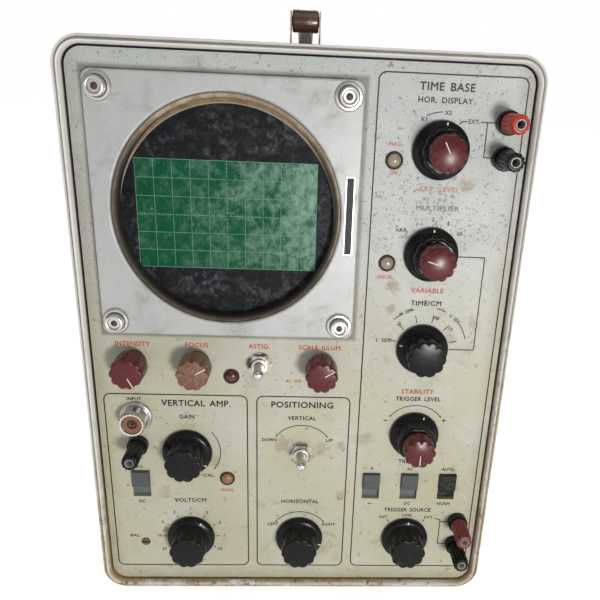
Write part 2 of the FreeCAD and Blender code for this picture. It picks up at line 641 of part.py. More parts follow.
def make_handle():
    """Leather strap bowed between two sheet brackets on the top cover."""
    seat = "cover_tall / 2"
    pin_level = "%s + pin_above" % seat
    reach = "strap_wide / 2 + leg_gap"
    bracket = new_body("handle_bracket")
    layer(bracket, [box_outline("0", seat + " + bracket_thick / 2", "bracket_wide", "bracket_thick")],
          "-bracket_long / 2", "bracket_long / 2")
    legs = [box_outline("%d * (%s + leg_thick / 2)" % (side, reach),
                        "%s + (pin_above + pin_radius) / 2 + 1" % seat, "leg_thick",
                        "pin_above + pin_radius + 2") for side in (-1, 1)]
    layer(bracket, legs, "-leg_long / 2", "leg_long / 2")
    pin = document.addObject("Part::Cylinder", "handle_pin")
    pin.setExpression("Radius", bound("pin_radius"))
    pin.setExpression("Height", bound("2 * (%s)" % reach))
    pin.Placement = FreeCAD.Placement(Vector(), FreeCAD.Rotation(Vector(0, 1, 0), 90))
    set_place(pin, "-(%s)" % reach, pin_level, "0")
    ends = []
    for depth in ("handle_setback", "handle_setback + handle_long"):
        for piece in (bracket, pin):
            copy = copy_of(piece, "handle_end_copy")
            copy.Placement = piece.Placement
            set_place(copy, "-(%s)" % reach if piece is pin else "0",
                      pin_level if piece is pin else "0", "-(%s)" % depth)
            ends.append(copy)
    node(in_front_frame(group("handle_brackets", ends)))
    document.recompute()
    make_strap(pin_level)


def make_strap(pin_level):
    half, rise, thick = number("handle_long") / 2, number("handle_rise"), number("strap_thick")
    bend = (half * half + rise * rise) / (2 * rise)
    level, middle = number(pin_level), -number("handle_setback") - half
    edges = []
    for radius, way in ((bend + thick / 2, 1), (bend - thick / 2, -1)):
        drop = radius * (bend - rise) / bend
        run = radius * half / bend
        low = level - bend + rise
        spots = [Vector(0, low + drop, middle - way * run), Vector(0, low + radius, middle),
                 Vector(0, low + drop, middle + way * run)]
        edges.append(Part.Arc(*spots).toShape())
    closing = [Part.makeLine(edges[0].Vertexes[1].Point, edges[1].Vertexes[0].Point),
               Part.makeLine(edges[1].Vertexes[1].Point, edges[0].Vertexes[0].Point)]
    wire = Part.Wire([edges[0], closing[0], edges[1], closing[1]])
    wide = number("strap_wide")
    left = Vector(-wide / 2, 0, 0)
    shape = Part.Face(wire).extrude(Vector(wide, 0, 0)).translated(left)
    for side in (-1, 1):
        spot = Vector(-wide / 2, level, middle + side * half)
        shape = shape.fuse(Part.makeCylinder(number("eye_radius"), wide, spot, Vector(1, 0, 0)))
    for side in (-1, 1):
        spot = Vector(-wide / 2, level, middle + side * half)
        bore = number("pin_radius + turn_gap")
        shape = shape.cut(Part.makeCylinder(bore, wide, spot, Vector(1, 0, 0)))
    strap = document.addObject("Part::Feature", "handle_strap")
    strap.Shape = shape.removeSplitter()
    node(in_front_frame(strap))


# ---- inside ----

def make_insides():
    under = "deck_top - plate_thick"
    core = new_body("power_transformer")
    middle = "%s - core_tall / 2" % under
    layer(core, [rounded("0", middle, "core_wide", "core_tall", "core_corner")], "-core_deep - core_long",
          "-core_deep")
    bell = [rounded("0", middle, "core_wide - 2 * bell_step", "core_tall - 2 * bell_step",
                    "bell_corner")]
    layer(core, bell, "-core_deep", "-core_deep + bell_long")
    layer(core, bell, "-core_deep - core_long - bell_long", "-core_deep - core_long")
    node(in_front_frame(core))
    can = turned("filter_can", [("0", "0"), ("can_radius", "0"), ("can_radius", "can_tall - foot_bevel"),
                                ("can_radius - foot_bevel", "can_tall"), ("0", "can_tall")])
    base = turned("valve_socket", [("0", "0"), ("valve_radius + socket_lip", "0"),
                                   ("valve_radius + socket_lip", "socket_tall"),
                                   ("0", "socket_tall")])
    glass = turned("valve_glass", [("0", "socket_tall"), ("valve_radius", "socket_tall"),
                                   ("valve_radius", "valve_tall - dome_tall"),
                                   ("valve_radius * 0.7", "valve_tall - tip_tall"),
                                   ("valve_radius * 0.25", "valve_tall"), ("0", "valve_tall")])

    def standing(source, x, depth):
        copy = copy_of(source, source.Label + "_copy")
        set_place(copy, x, "panel_face + %s" % depth, "panel_mid + deck_top")
        return copy
    cans = [standing(can, "-can_across", "can_first + %d * can_pitch" % i) for i in range(CANS)]
    node(group("filter_capacitors", cans))
    valves = []
    for row in range(VALVE_ROWS):
        for column in range(VALVE_COLUMNS):
            x = "valve_left + %d * valve_spread" % column
            depth = "valve_first + %d * valve_pitch" % row
            valves += [standing(base, x, depth), standing(glass, x, depth)]
    node(group("vacuum_tubes", valves))
    make_fan()


def make_fan():
    back = "-rear_face + fan_clear"
    front = back + " + fan_deep"
    motor_back = front + " + motor_gap"
    motor = new_body("fan_motor")
    layer(motor, [disc("0", "0", "motor_radius")], motor_back, motor_back + " + motor_long")
    top = "deck_top - plate_thick - (%s)" % down("fan_down")
    layer(motor, [box_outline("0", "(%s) / 2" % top, "motor_radius", top)],
          motor_back + " + motor_long - blade_thick", motor_back + " + motor_long")
    sketch = new_sketch(motor, "XY_Plane", motor_back, [disc("0", "0", "motor_shaft + turn_gap")])
    bore = motor.newObject("PartDesign::Pocket", "motor_bore")
    bore.Profile = sketch
    bore.Reversed = True
    bore.setExpression("Length", bound("motor_long / 2"))
    node(in_front_frame(motor, "0", down("fan_down")))
    hub = new_body("fan_hub")
    layer(hub, [disc("0", "0", "fan_hub")], back, front)
    layer(hub, [disc("0", "0", "motor_shaft")], front, motor_back + " + motor_long / 2 - motor_bore_spare")
    pieces = [hub]
    for turn in range(BLADES):
        blade = document.addObject("Part::Box", "fan_blade")
        blade.setExpression("Length", bound("fan_radius - fan_hub / 2"))
        blade.setExpression("Width", bound("blade_thick"))
        blade.setExpression("Height", bound("fan_deep"))
        tilt = FreeCAD.Rotation(Vector(1, 0, 0), BLADE_TILT)
        around = FreeCAD.Rotation(Vector(0, 0, 1), 360 / BLADES * turn)
        blade.Placement = FreeCAD.Placement(Vector(), around * tilt)
        away = blade.Placement.Rotation.multVec(Vector(1, 0, 0))
        middle = blade.Placement.Rotation.multVec(Vector(0, 0.5, 0.5))
        for axis, reach, lean in zip("xyz", away, middle):
            shift = "%.6f * fan_hub / 2 - %.6f * fan_deep" % (reach, lean)
            if axis == "z":
                shift += " + (%s) + fan_deep / 2" % back
            blade.setExpression("Placement.Base." + axis, bound(shift))
        pieces.append(blade)
    fan = document.addObject("Part::MultiFuse", "fan_fuse")
    fan.Label = "fan_blades"
    fan.Shapes = pieces
    node(in_front_frame(fan, "0", down("fan_down")))


# ---- controls ----

def shaft_body(label, radius, low, high):
    return turned(label, [("0", low), (radius, low), (radius, "%s - 0.4" % high),
                          ("%s - 0.4" % radius, high), ("0", high)])


def housing(label, bore, can, deep, bushing_tall="bushing_proud"):
    """A potentiometer or switch with its threaded bushing and a blind bore for its shaft."""
    stop = "-inner_deep - seam_gap"
    return turned(label, [(bore, bushing_tall), ("bushing", bushing_tall), ("bushing", "-panel_thick"),
                          (can, "-panel_thick"), (can, "-panel_thick - %s" % deep),
                          ("0", "-panel_thick - %s" % deep), ("0", stop), (bore, stop)])


def make_housings():
    bore = "shaft + turn_gap"
    pot = housing("potentiometer", bore, "pot_radius", "pot_deep")
    trimmer = turned("trimmer", [("trimmer_shaft + turn_gap", "-panel_thick"),
                                 ("trimmer_radius", "-panel_thick"),
                                 ("trimmer_radius", "-panel_thick - pot_deep"),
                                 ("0", "-panel_thick - pot_deep"), ("0", "-shaft_deep - seam_gap"),
                                 ("trimmer_shaft + turn_gap", "-shaft_deep - seam_gap")])
    node(group("potentiometers", row_of("potentiometer", pot, POT_SPOTS)
               + row_of("trimmer", trimmer, [TRIM_SPOT])))
    switch = housing("rotary_switch", bore, "switch_radius", "switch_deep")
    node(group("rotary_switches", row_of("rotary_switch", switch, SWITCH_SPOTS)))
    hexagon = document.addObject("Part::Prism", "nut_hexagon")
    hexagon.Polygon = 6
    hexagon.setExpression("Circumradius", bound("nut_flats / sqrt(3)"))
    hexagon.setExpression("Height", bound("nut_thick"))
    set_place(hexagon, "0", "0", "washer_thick")
    thread = document.addObject("Part::Cylinder", "nut_thread")
    thread.setExpression("Radius", bound("bushing"))
    thread.setExpression("Height", bound("bushing_proud"))
    nut = document.addObject("Part::Cut", "control_nut")
    nut.Base = hexagon
    nut.Tool = thread
    washer = turned("control_washer", [("bushing", "0"), ("washer_radius", "0"),
                                       ("washer_radius", "washer_thick"), ("bushing", "washer_thick")])
    spots = POT_SPOTS + SWITCH_SPOTS
    node(group("control_nuts", row_of("control_nut", nut, spots)
               + row_of("control_washer", washer, spots)))


def knob(label, widest, tall, stop, skirted=True):
    """A fluted knob on a quarter inch shaft; a stop makes its shaft bore blind."""
    points = [("0", tall)] if stop else [("shaft", tall)]
    points += [(widest + " - knob_round", tall), (widest, tall + " - knob_round")]
    if skirted:
        recess = "washer_radius + recess_gap"
        points += [(widest, "skirt_tall"), ("skirt_radius - skirt_bevel", "skirt_tall"),
                   ("skirt_radius", "skirt_tall - skirt_bevel"), ("skirt_radius", "knob_clear"),
                   (recess, "knob_clear"), (recess, "recess_tall"), ("shaft", "recess_tall")]
    else:
        points += [(widest, "red_clear"), ("shaft", "red_clear")]
    if stop:
        points += [("shaft", stop), ("0", stop)]
    body = turned(label, points)
    flute(body, widest, "flute_radius", "skirt_tall" if skirted else "red_clear", tall)
    return body


def control(label, pieces, spot):
    node(in_front_frame(group(label, pieces), spot[0], spot[1]))


def make_controls():
    low = "-shaft_deep"
    red_stop = "red_proud - shaft_stop"
    red = knob("red_knob", "red_radius", "red_proud", red_stop, skirted=False)
    red_shaft = shaft_body("red_knob_shaft", "shaft", low, red_stop)
    black_stop = "cap_proud - shaft_stop"
    black = knob("skirted_knob", "cap_radius", "cap_proud", black_stop)
    black_shaft = shaft_body("skirted_knob_shaft", "shaft", low, black_stop)
    bare = shaft_body("bare_shaft", "shaft", low, "bare_shaft_proud")
    outer = knob("outer_knob", "outer_radius", "outer_proud", None)
    tube = turned("tube_shaft", [("inner_shaft + turn_gap", low), ("shaft", low),
                                 ("shaft", "outer_proud - 1"),
                                 ("inner_shaft + turn_gap", "outer_proud - 1")])
    inner_low = "outer_proud + inner_gap"
    inner_stop = "inner_proud - shaft_stop"
    inner = turned("inner_knob", [("0", "inner_proud"), ("inner_radius - knob_round", "inner_proud"),
                                  ("inner_radius", "inner_proud - knob_round"),
                                  ("inner_radius", inner_low), ("inner_shaft", inner_low),
                                  ("inner_shaft", inner_stop), ("0", inner_stop)])
    flute(inner, "inner_radius", "flute_radius", inner_low, "inner_proud")
    inner_shaft = shaft_body("inner_knob_shaft", "inner_shaft", "-inner_deep", inner_stop)
    for i, label in ((0, "intensity_knob"), (1, "focus_knob"), (3, "scale_illumination_knob")):
        control(label, [red, red_shaft], POT_SPOTS[i])
    control("astigmatism_shaft", [bare], POT_SPOTS[2])
    control("gain_knob", [black, black_shaft], POT_SPOTS[4])
    control("vertical_position_shaft", [bare], POT_SPOTS[5])
    control("horizontal_position_knob", [black, black_shaft], POT_SPOTS[6])
    control("volts_per_division_knob", [black, black_shaft], SWITCH_SPOTS[0])
    control("time_per_division_knob", [black, black_shaft], SWITCH_SPOTS[3])
    control("trigger_source_knob", [black, black_shaft], SWITCH_SPOTS[4])
    for outside, inside, spot in (("display_knob", "external_gain_knob", SWITCH_SPOTS[1]),
                                  ("multiplier_knob", "variable_time_knob", SWITCH_SPOTS[2]),
                                  ("trigger_level_knob", "stability_knob", POT_SPOTS[7])):
        control(outside, [outer, tube], spot)
        control(inside, [inner, inner_shaft], spot)
    trimmer = shaft_body("balance_shaft", "trimmer_shaft", low, "trimmer_proud")
    cut(trimmer, [box_outline("0", "0", "2 * trimmer_shaft + 1", "trimmer_slot")],
        "trimmer_proud - 1.2", "trimmer_proud")
    control("dc_balance_shaft", [trimmer], TRIM_SPOT)


def make_slides():
    """Slide switches: a raised grip on a plate that covers the slot at both ends of its travel."""
    cavity = "slot_tall + 2 * (slider_travel + slider_gap)"
    body = new_body("slide_switch_body")
    layer(body, [box_outline("0", "0", "slide_body_wide", cavity + " + 2 * slide_body_wall")],
          "-panel_thick - slide_body_deep", "-panel_thick")
    cut(body, [box_outline("0", "0", "slot_wide", cavity)], "-panel_thick - slot_deep", "-panel_thick")
    node(group("slide_switch_bodies", row_of("slide_body", body, list(SLIDE_SPOTS.values()))))
    slider = new_body("slide_slider")
    wide = "slot_wide - 2 * slider_gap"
    behind = "-panel_thick - slider_gap"
    layer(slider, [box_outline("0", "slider_travel / 2", wide, "slot_tall + slider_travel")],
          behind + " - slider_plate", behind)
    rest = "(slot_tall - slider_tall) / 2 - slider_gap"
    grip = layer(slider, [box_outline("0", rest, wide, "slider_tall")], behind, "slider_proud")
    round_top(slider, grip, "slider_proud", "slider_round")
    for label, spot in SLIDE_SPOTS.items():
        control(label, [copy_of(slider, label + "_copy")], spot)


def make_lamps():
    lens = turned("lamp_lens", [("0", "-panel_thick"), ("lamp_radius", "-panel_thick"),
                                ("lamp_radius", "lamp_proud - lamp_dome"),
                                ("lamp_radius * 0.75", "lamp_proud - lamp_dome * 0.3"),
                                ("lamp_radius * 0.35", "lamp_proud"), ("0", "lamp_proud")])
    holder = turned("lamp_holder", [("0", "-panel_thick"), ("lamp_holder", "-panel_thick"),
                                    ("lamp_holder", "-panel_thick - lamp_deep"),
                                    ("0", "-panel_thick - lamp_deep")])
    node(group("indicator_lamps", row_of("lamp_lens", lens, LAMP_SPOTS)
               + row_of("lamp_holder", holder, LAMP_SPOTS)))


def make_connector():
    shell = turned("coax_shell", [("coax_bore", "-coax_deep"), ("coax_neck", "-coax_deep"),
                                  ("coax_neck", "coax_ring_tall"), ("coax_radius", "coax_ring_tall"),
                                  ("coax_radius", "coax_proud - 0.5"),
                                  ("coax_radius - 0.5", "coax_proud"), ("coax_bore", "coax_proud")])
    ring = turned("coax_ring", [("coax_neck", "0"), ("coax_ring", "0"),
                                ("coax_ring", "coax_ring_tall - 0.6"),
                                ("coax_ring - 0.6", "coax_ring_tall"),
                                ("coax_neck", "coax_ring_tall")])
    insert = turned("coax_insert", [("0", "-coax_deep"), ("coax_bore", "-coax_deep"),
                                    ("coax_bore", "coax_proud - 2"), ("coax_pin", "coax_proud - 2"),
                                    ("coax_pin", "coax_proud - 10"), ("0", "coax_proud - 10")])
    node(in_front_frame(group("input_connector", [shell, ring, insert]), COAX_SPOT[0], COAX_SPOT[1]))


def make_posts():
    base = turned("post_base", [("0", "-post_deep"), ("post_stud", "-post_deep"), ("post_stud", "0"),
                                ("post_base", "0"), ("post_base", "post_base_tall - small_bevel"),
                                ("post_base - small_bevel", "post_base_tall"),
                                ("post_stud", "post_base_tall"), ("post_stud", "stud_proud"),
                                ("banana", "stud_proud"), ("banana", "stud_proud - banana_deep"),
                                ("0", "stud_proud - banana_deep")])
    node(group("binding_post_bases", row_of("post_base", base, list(POST_SPOTS.values()))))
    bore = "post_stud + turn_gap"
    low = "post_base_tall + post_gap"
    cap = turned("post_cap", [(bore, low), ("post_radius", low), ("post_radius", "post_proud - 1"),
                              ("post_radius - 1", "post_proud"), ("banana", "post_proud"),
                              ("banana", "stud_proud + post_gap"), (bore, "stud_proud + post_gap")])
    flute(cap, "post_radius", "post_flute", low, "post_proud", "0.5")
    for label, spot in POST_SPOTS.items():
        control(label, [copy_of(cap, label + "_copy")], spot)


def check_and_write():
    document.recompute()
    for item in document.Objects:
        if "Invalid" in item.State or "Error" in item.State:
            raise ValueError("%s did not compute: %s" % (item.Label, item.State))
    for item in nodes:
        if item.Shape.isNull() or not item.Shape.isValid() or not item.Shape.Solids:
            raise ValueError(item.Label + " has no valid shape")
    os.makedirs("parts", exist_ok=True)
    for item in nodes:
        item.Shape.exportStep("parts/%s.step" % item.Label)
    print(len(nodes), "nodes")


fill_sheet()
make_panel()
make_rim()
make_bezel()
make_thumb_nuts()
make_tube()
make_chassis()
make_covers()
make_rear()
make_feet()
make_handle()
make_insides()
make_housings()
make_controls()
make_slides()
make_lamps()
make_connector()
make_posts()
check_and_write()
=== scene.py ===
import bmesh
import bpy
import math
from mathutils import Matrix, Vector


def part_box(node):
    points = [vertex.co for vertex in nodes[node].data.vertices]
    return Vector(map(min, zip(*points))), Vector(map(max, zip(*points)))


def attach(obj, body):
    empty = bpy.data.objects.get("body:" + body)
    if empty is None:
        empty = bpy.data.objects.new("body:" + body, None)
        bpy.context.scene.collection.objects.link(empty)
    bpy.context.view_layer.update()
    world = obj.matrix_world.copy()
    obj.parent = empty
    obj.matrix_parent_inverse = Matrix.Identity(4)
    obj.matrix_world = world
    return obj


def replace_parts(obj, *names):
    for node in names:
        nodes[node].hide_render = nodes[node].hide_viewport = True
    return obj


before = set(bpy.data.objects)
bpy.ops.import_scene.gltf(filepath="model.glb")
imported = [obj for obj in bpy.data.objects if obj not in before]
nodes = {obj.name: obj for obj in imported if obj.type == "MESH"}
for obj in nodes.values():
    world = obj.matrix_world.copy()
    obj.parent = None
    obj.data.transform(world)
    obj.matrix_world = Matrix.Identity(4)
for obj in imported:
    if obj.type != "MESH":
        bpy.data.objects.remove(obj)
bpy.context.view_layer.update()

mm = 0.001
panelLow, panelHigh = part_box("front_panel")
edgeGap = 0.6 * mm        # the panel sits this far inside its rim
panelLeft = panelLow.x - edgeGap
panelTop = panelHigh.z + edgeGap
panelFace = panelLow.y


def onPanel(across, down, out=0.0):
    # a place in millimetres from the panel's upper left corner, out towards the user
    return Vector((panelLeft + across * mm, panelFace - out * mm, panelTop - down * mm))


# ---- camera, floor and light ----

camera = dict(place=(122.519, 20.302, 364.645), roll=2.513, pitch=21.016, yaw=-3.414,
              lens=39.144, sensor=36.0, shiftX=-0.05927, shiftY=0.08307)
light = dict(sky=0.30, backdrop=1.0, floorSize=30.0, floorGlow=0.78,
             key=(440, 255, 1035), keyPower=7.6, keySize=0.18,
             side=(-1300, 450, 480), sidePower=4.5, sideSize=1.6,
             top=(150, -900, 500), topPower=1.6, topSize=0.9,
             rear=(700, -500, -2000), rearPower=14.0, rearSize=1.6)


def makeCamera():
    data = bpy.data.cameras.new("benchCamera")
    data.sensor_width = camera["sensor"]
    data.lens = camera["lens"]
    data.shift_x, data.shift_y = camera["shiftX"], camera["shiftY"]
    data.clip_start, data.clip_end = 0.01, 100
    turn = (Matrix.Rotation(math.radians(camera["roll"]), 3, "Z")
            @ Matrix.Rotation(math.radians(camera["pitch"]), 3, "X")
            @ Matrix.Rotation(math.radians(camera["yaw"]), 3, "Y"))
    right, drop, ahead = (Vector((row[0], row[2], -row[1])) for row in turn)
    eye = bpy.data.objects.new("benchCamera", data)
    bpy.context.scene.collection.objects.link(eye)
    grid = Matrix((right, -drop, -ahead)).transposed().to_4x4()
    eye.matrix_world = Matrix.Translation(onPanel(*camera["place"])) @ grid
    bpy.context.scene.camera = eye


def makeArea(name, place, target, power, size, tint=(1, 1, 1)):
    data = bpy.data.lights.new(name, "AREA")
    data.energy, data.size, data.color = power, size, tint
    lamp = bpy.data.objects.new(name, data)
    bpy.context.scene.collection.objects.link(lamp)
    lamp.location = place
    lamp.rotation_euler = (Vector(target) - Vector(place)).to_track_quat("-Z", "Y").to_euler()


def makeStudio():
    bpy.context.scene.view_settings.view_transform = "Standard"
    world = bpy.data.worlds.new("paleRoom")
    bpy.context.scene.world = world
    world.use_nodes = True
    tree = world.node_tree
    sky = tree.nodes["Background"]
    sky.inputs["Color"].default_value = (1, 1, 1, 1)
    sky.inputs["Strength"].default_value = light["sky"]
    backdrop = tree.nodes.new("ShaderNodeBackground")
    backdrop.inputs["Color"].default_value = (1, 1, 1, 1)
    backdrop.inputs["Strength"].default_value = light["backdrop"]
    seen = tree.nodes.new("ShaderNodeLightPath").outputs["Is Camera Ray"]
    mix = tree.nodes.new("ShaderNodeMixShader")
    link(seen, mix.inputs[0])
    link(sky.outputs[0], mix.inputs[1])
    link(backdrop.outputs[0], mix.inputs[2])
    link(mix.outputs[0], tree.nodes["World Output"].inputs["Surface"])
    middle = onPanel(122, 165)
    for name, place, power, size, tint in (
            ("windowLight", light["key"], light["keyPower"], light["keySize"], (1, 0.985, 0.96)),
            ("sideLight", light["side"], light["sidePower"], light["sideSize"], (0.95, 0.98, 1)),
            ("ceilingLight", light["top"], light["topPower"], light["topSize"], (0.96, 0.98, 1)),
            ("rearLight", light["rear"], light["rearPower"], light["rearSize"], (1, 0.99, 0.97))):
        makeArea(name, onPanel(*place), middle, power, size, tint)
    bm = bmesh.new()
    bmesh.ops.create_grid(bm, x_segments=1, y_segments=1, size=light["floorSize"] / 2)
    floor = meshObject("floor", bm)
    paint = plainFinish("paleFloor", (0.80, 0.80, 0.80), 0.9)
    shader = paint.node_tree.nodes["Principled BSDF"]
    shader.inputs["Emission Color"].default_value = (1, 1, 1, 1)
    shader.inputs["Emission Strength"].default_value = light["floorGlow"]
    floor.data.materials.append(paint)
    # the floor is seen and mirrored, but its glow lights nothing
    floor.visible_diffuse = False


# ---- shader helpers ----

def newFinish(name):
    finish = bpy.data.materials.new(name)
    finish.use_nodes = True
    made = finish.node_tree.nodes
    return finish, made["Principled BSDF"], made.new("ShaderNodeTexCoord").outputs["Object"]


def link(source, target):
    # both ends are in the same tree, so it needn't be passed from helper to helper
    source.id_data.links.new(source, target)


def plainFinish(name, colour, rough):
    finish, shader, _ = newFinish(name)
    shader.inputs["Base Color"].default_value = (*colour, 1)
    shader.inputs["Roughness"].default_value = rough
    return finish


def noiseOf(spot, scale, detail=4.0, rough=0.55, warp=0.0):
    noise = spot.id_data.nodes.new("ShaderNodeTexNoise")
    link(spot, noise.inputs["Vector"])
    noise.inputs["Scale"].default_value = scale
    noise.inputs["Detail"].default_value = detail
    noise.inputs["Roughness"].default_value = rough
    noise.inputs["Distortion"].default_value = warp
    return noise.outputs["Fac"]


def cellsOf(spot, scale, feature="F1"):
    cells = spot.id_data.nodes.new("ShaderNodeTexVoronoi")
    cells.feature = feature
    link(spot, cells.inputs["Vector"])
    cells.inputs["Scale"].default_value = scale
    return cells.outputs["Distance"]


def between(value, low, high):
    # 0 below low, 1 above high, smooth from one to the other
    step = value.id_data.nodes.new("ShaderNodeMapRange")
    step.interpolation_type = "SMOOTHSTEP"
    link(value, step.inputs["Value"])
    step.inputs["From Min"].default_value = low
    step.inputs["From Max"].default_value = high
    return step.outputs["Result"]


def spread(value, low, high):
    # the value from 0 to 1 stretched to run from low to high
    step = value.id_data.nodes.new("ShaderNodeMapRange")
    link(value, step.inputs["Value"])
    step.inputs["To Min"].default_value = low
    step.inputs["To Max"].default_value = high
    return step.outputs["Result"]


def maths(what, first, second=0.0):
    node = first.id_data.nodes.new("ShaderNodeMath")
    node.operation = what
    for socket, value in zip(node.inputs, (first, second)):
        if isinstance(value, (int, float)):
            socket.default_value = value
        else:
            link(value, socket)
    return node.outputs[0]


def times(first, second):
    return maths("MULTIPLY", first, second)


def total(first, second):
    return maths("ADD", first, second)


def minus(first, second):
    return maths("SUBTRACT", first, second)


def blendOf(amount, first, second):
    node = amount.id_data.nodes.new("ShaderNodeMix")
    node.data_type = "RGBA"
    node.clamp_factor = True
    for socket, value in ((node.inputs[0], amount), (node.inputs[6], first), (node.inputs[7], second)):
        if isinstance(value, (int, float)):
            socket.default_value = value
        elif isinstance(value, tuple):
            socket.default_value = (*value, 1)
        else:
            link(value, socket)
    return node.outputs[2]


def bumpOf(shader, height, depth, strength=0.6):
    bump = height.id_data.nodes.new("ShaderNodeBump")
    bump.inputs["Strength"].default_value = strength
    bump.inputs["Distance"].default_value = depth
    link(height, bump.inputs["Height"])
    link(bump.outputs["Normal"], shader.inputs["Normal"])


def stretched(spot, scale):
    # the same coordinates, drawn out or squeezed along each axis
    node = spot.id_data.nodes.new("ShaderNodeMapping")
    node.inputs["Scale"].default_value = scale
    link(spot, node.inputs["Vector"])
    return node.outputs[0]


def axesOf(spot):
    split = spot.id_data.nodes.new("ShaderNodeSeparateXYZ")
    link(spot, split.inputs[0])
    return split.outputs


def distanceFrom(across, up, centre):
    # how far a spot lies, in the panel's plane, from a place on the panel
    middle = onPanel(*centre)
    sideways = maths("POWER", minus(across, middle.x), 2.0)
    upwards = maths("POWER", minus(up, middle.z), 2.0)
    return maths("SQRT", total(sideways, upwards))


# ---- finishes ----

panelPaint = dict(high=(0.475, 0.50, 0.485), low=(0.50, 0.49, 0.362), pale=(0.60, 0.625, 0.60),
                  grime=(0.22, 0.17, 0.085), rust=(0.26, 0.13, 0.05), speck=(0.13, 0.13, 0.12),
                  rough=0.40, densest=(196, 78), densestSize=60, stain=(0.27, 0.19, 0.08),
                  stains=[((113, 226), 11, 0.5), ((139, 228), 9, 0.4), ((38, 292), 7, 0.95),
                          ((213, 62), 9, 0.7), ((176, 121), 9, 0.7), ((176, 134), 6, 0.55),
                          ((226, 142), 8, 0.5), ((38, 262), 9, 0.35), ((152, 262), 8, 0.4),
                          ((125.3, 231.5), 8, 0.55), ((99, 172), 7, 0.35),
                          ((70, 238), 8, 0.35), ((212, 152), 8, 0.4), ((226, 256), 9, 0.35),
                          ((66, 8), 12, 0.25), ((150, 226), 6, 0.5)])


def makePanelPaint():
    finish, shader, spot = newFinish("agedPanelPaint")
    across, _, up = axesOf(spot)
    lower = between(up, panelTop - 0.06, panelLow.z + 0.12)
    colour = blendOf(lower, panelPaint["high"], panelPaint["low"])
    cloud = between(noiseOf(spot, 26, 6, 0.6), 0.45, 0.75)
    colour = blendOf(times(cloud, 0.4), colour, panelPaint["pale"])
    # a thin yellow film, uneven from place to place
    film = between(noiseOf(spot, 17, 7, 0.66, 0.6), 0.42, 0.75)
    colour = blendOf(times(film, spread(lower, 0.10, 0.42)), colour,
                     (0.40, 0.36, 0.20))
    # grey pinprick specks, thickest between the upper time base knobs
    apart = distanceFrom(across, up, panelPaint["densest"])
    near = between(apart, panelPaint["densestSize"] * mm, 0.004)
    patches = between(noiseOf(spot, 40, 5, 0.65), 0.44, 0.68)
    upper = between(up, panelTop - 0.19, panelTop - 0.08)
    patches = times(patches, spread(upper, 0.1, 1.0))
    heavy = total(times(patches, 0.3), times(near, 0.75))
    specks = total(noiseOf(spot, 520, 3, 0.6), times(heavy, 0.10))
    dots = between(specks, 0.645, 0.70)
    dots = times(dots, spread(upper, 0.35, 0.66))
    colour = blendOf(dots, colour, panelPaint["speck"])
    grains = between(noiseOf(spot, 1100, 4, 0.65), 0.50, 0.64)
    mottle = spread(between(noiseOf(spot, 120, 5, 0.6), 0.4, 0.7), 0.2, 1.0)
    share = times(mottle, spread(upper, 0.10, 0.42))
    colour = blendOf(times(grains, share), colour, panelPaint["speck"])
    # brown grime that gathers towards the foot of the panel and into its edges
    edges = maths("MAXIMUM", between(across, panelLow.x + 0.012, panelLow.x),
                  between(across, panelHigh.x - 0.012, panelHigh.x))
    edges = maths("MAXIMUM", edges, between(up, panelLow.z + 0.014, panelLow.z))
    grime = between(noiseOf(spot, 55, 8, 0.7, 0.5), 0.54, 0.74)
    amount = times(grime, spread(lower, 0.10, 0.55))
    soil = times(edges, spread(noiseOf(spot, 60, 6, 0.7), 0.0, 0.7))
    colour = blendOf(maths("MAXIMUM", amount, soil), colour, panelPaint["grime"])
    spots = between(cellsOf(spot, 120), 0.13, 0.02)
    rare = between(noiseOf(spot, 24, 3), 0.54, 0.62)
    rust = times(times(spots, rare), spread(upper, 1.0, 0.1))
    colour = blendOf(times(rust, 0.85), colour, panelPaint["rust"])
    blot = noiseOf(spot, 190, 7, 0.7, 0.4)
    for place, reach, weight in panelPaint["stains"]:
        gap = distanceFrom(across, up, place)
        ragged = total(blot, times(between(gap, reach * mm, 0.0), 0.35))
        mark = times(between(ragged, 0.60, 0.82), weight)
        colour = blendOf(mark, colour, panelPaint["stain"])
    # painted shadow and dirt in a band round the edge of the screen's raised bezel
    low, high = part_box("crt_bezel")
    outside = []
    for value, start, end in ((across, low.x, high.x), (up, low.z, high.z)):
        gap = maths("ABSOLUTE", minus(value, (start + end) / 2))
        outside.append(minus(gap, (end - start) / 2))
    bezelShadeAndDirt = between(maths("MAXIMUM", *outside), 0.0034, 0.0009)
    bezelShadeAndDirt = times(bezelShadeAndDirt, spread(noiseOf(spot, 45, 5), 0.35, 1.0))
    colour = blendOf(bezelShadeAndDirt, colour, (0.10, 0.075, 0.045))
    link(colour, shader.inputs["Base Color"])
    link(spread(noiseOf(spot, 90, 5), panelPaint["rough"] - 0.06, panelPaint["rough"] + 0.2),
         shader.inputs["Roughness"])
    bumpOf(shader, noiseOf(spot, 1100, 3), 0.00005, 0.3)
    return finish


def makeMetal(name, base, stain, rough, grain=0.25, stains=(0.52, 0.7), scale=38, metal=1.0):
    finish, shader, spot = newFinish(name)
    tone = blendOf(noiseOf(spot, scale * 2.2, 5), tuple(c * 0.82 for c in base), base)
    marks = between(noiseOf(spot, scale, 7, 0.68, 0.5), *stains)
    pits = between(noiseOf(spot, scale * 14, 3), 0.63, 0.7)
    amount = maths("MAXIMUM", marks, times(pits, 0.6))
    link(blendOf(amount, tone, stain), shader.inputs["Base Color"])
    shader.inputs["Metallic"].default_value = metal
    fine = spread(noiseOf(spot, scale * 6, 4), rough - 0.08, rough + 0.1)
    link(total(fine, times(amount, 0.3)), shader.inputs["Roughness"])
    bumpOf(shader, noiseOf(spot, scale * 18, 3), 0.00005, grain)
    return finish


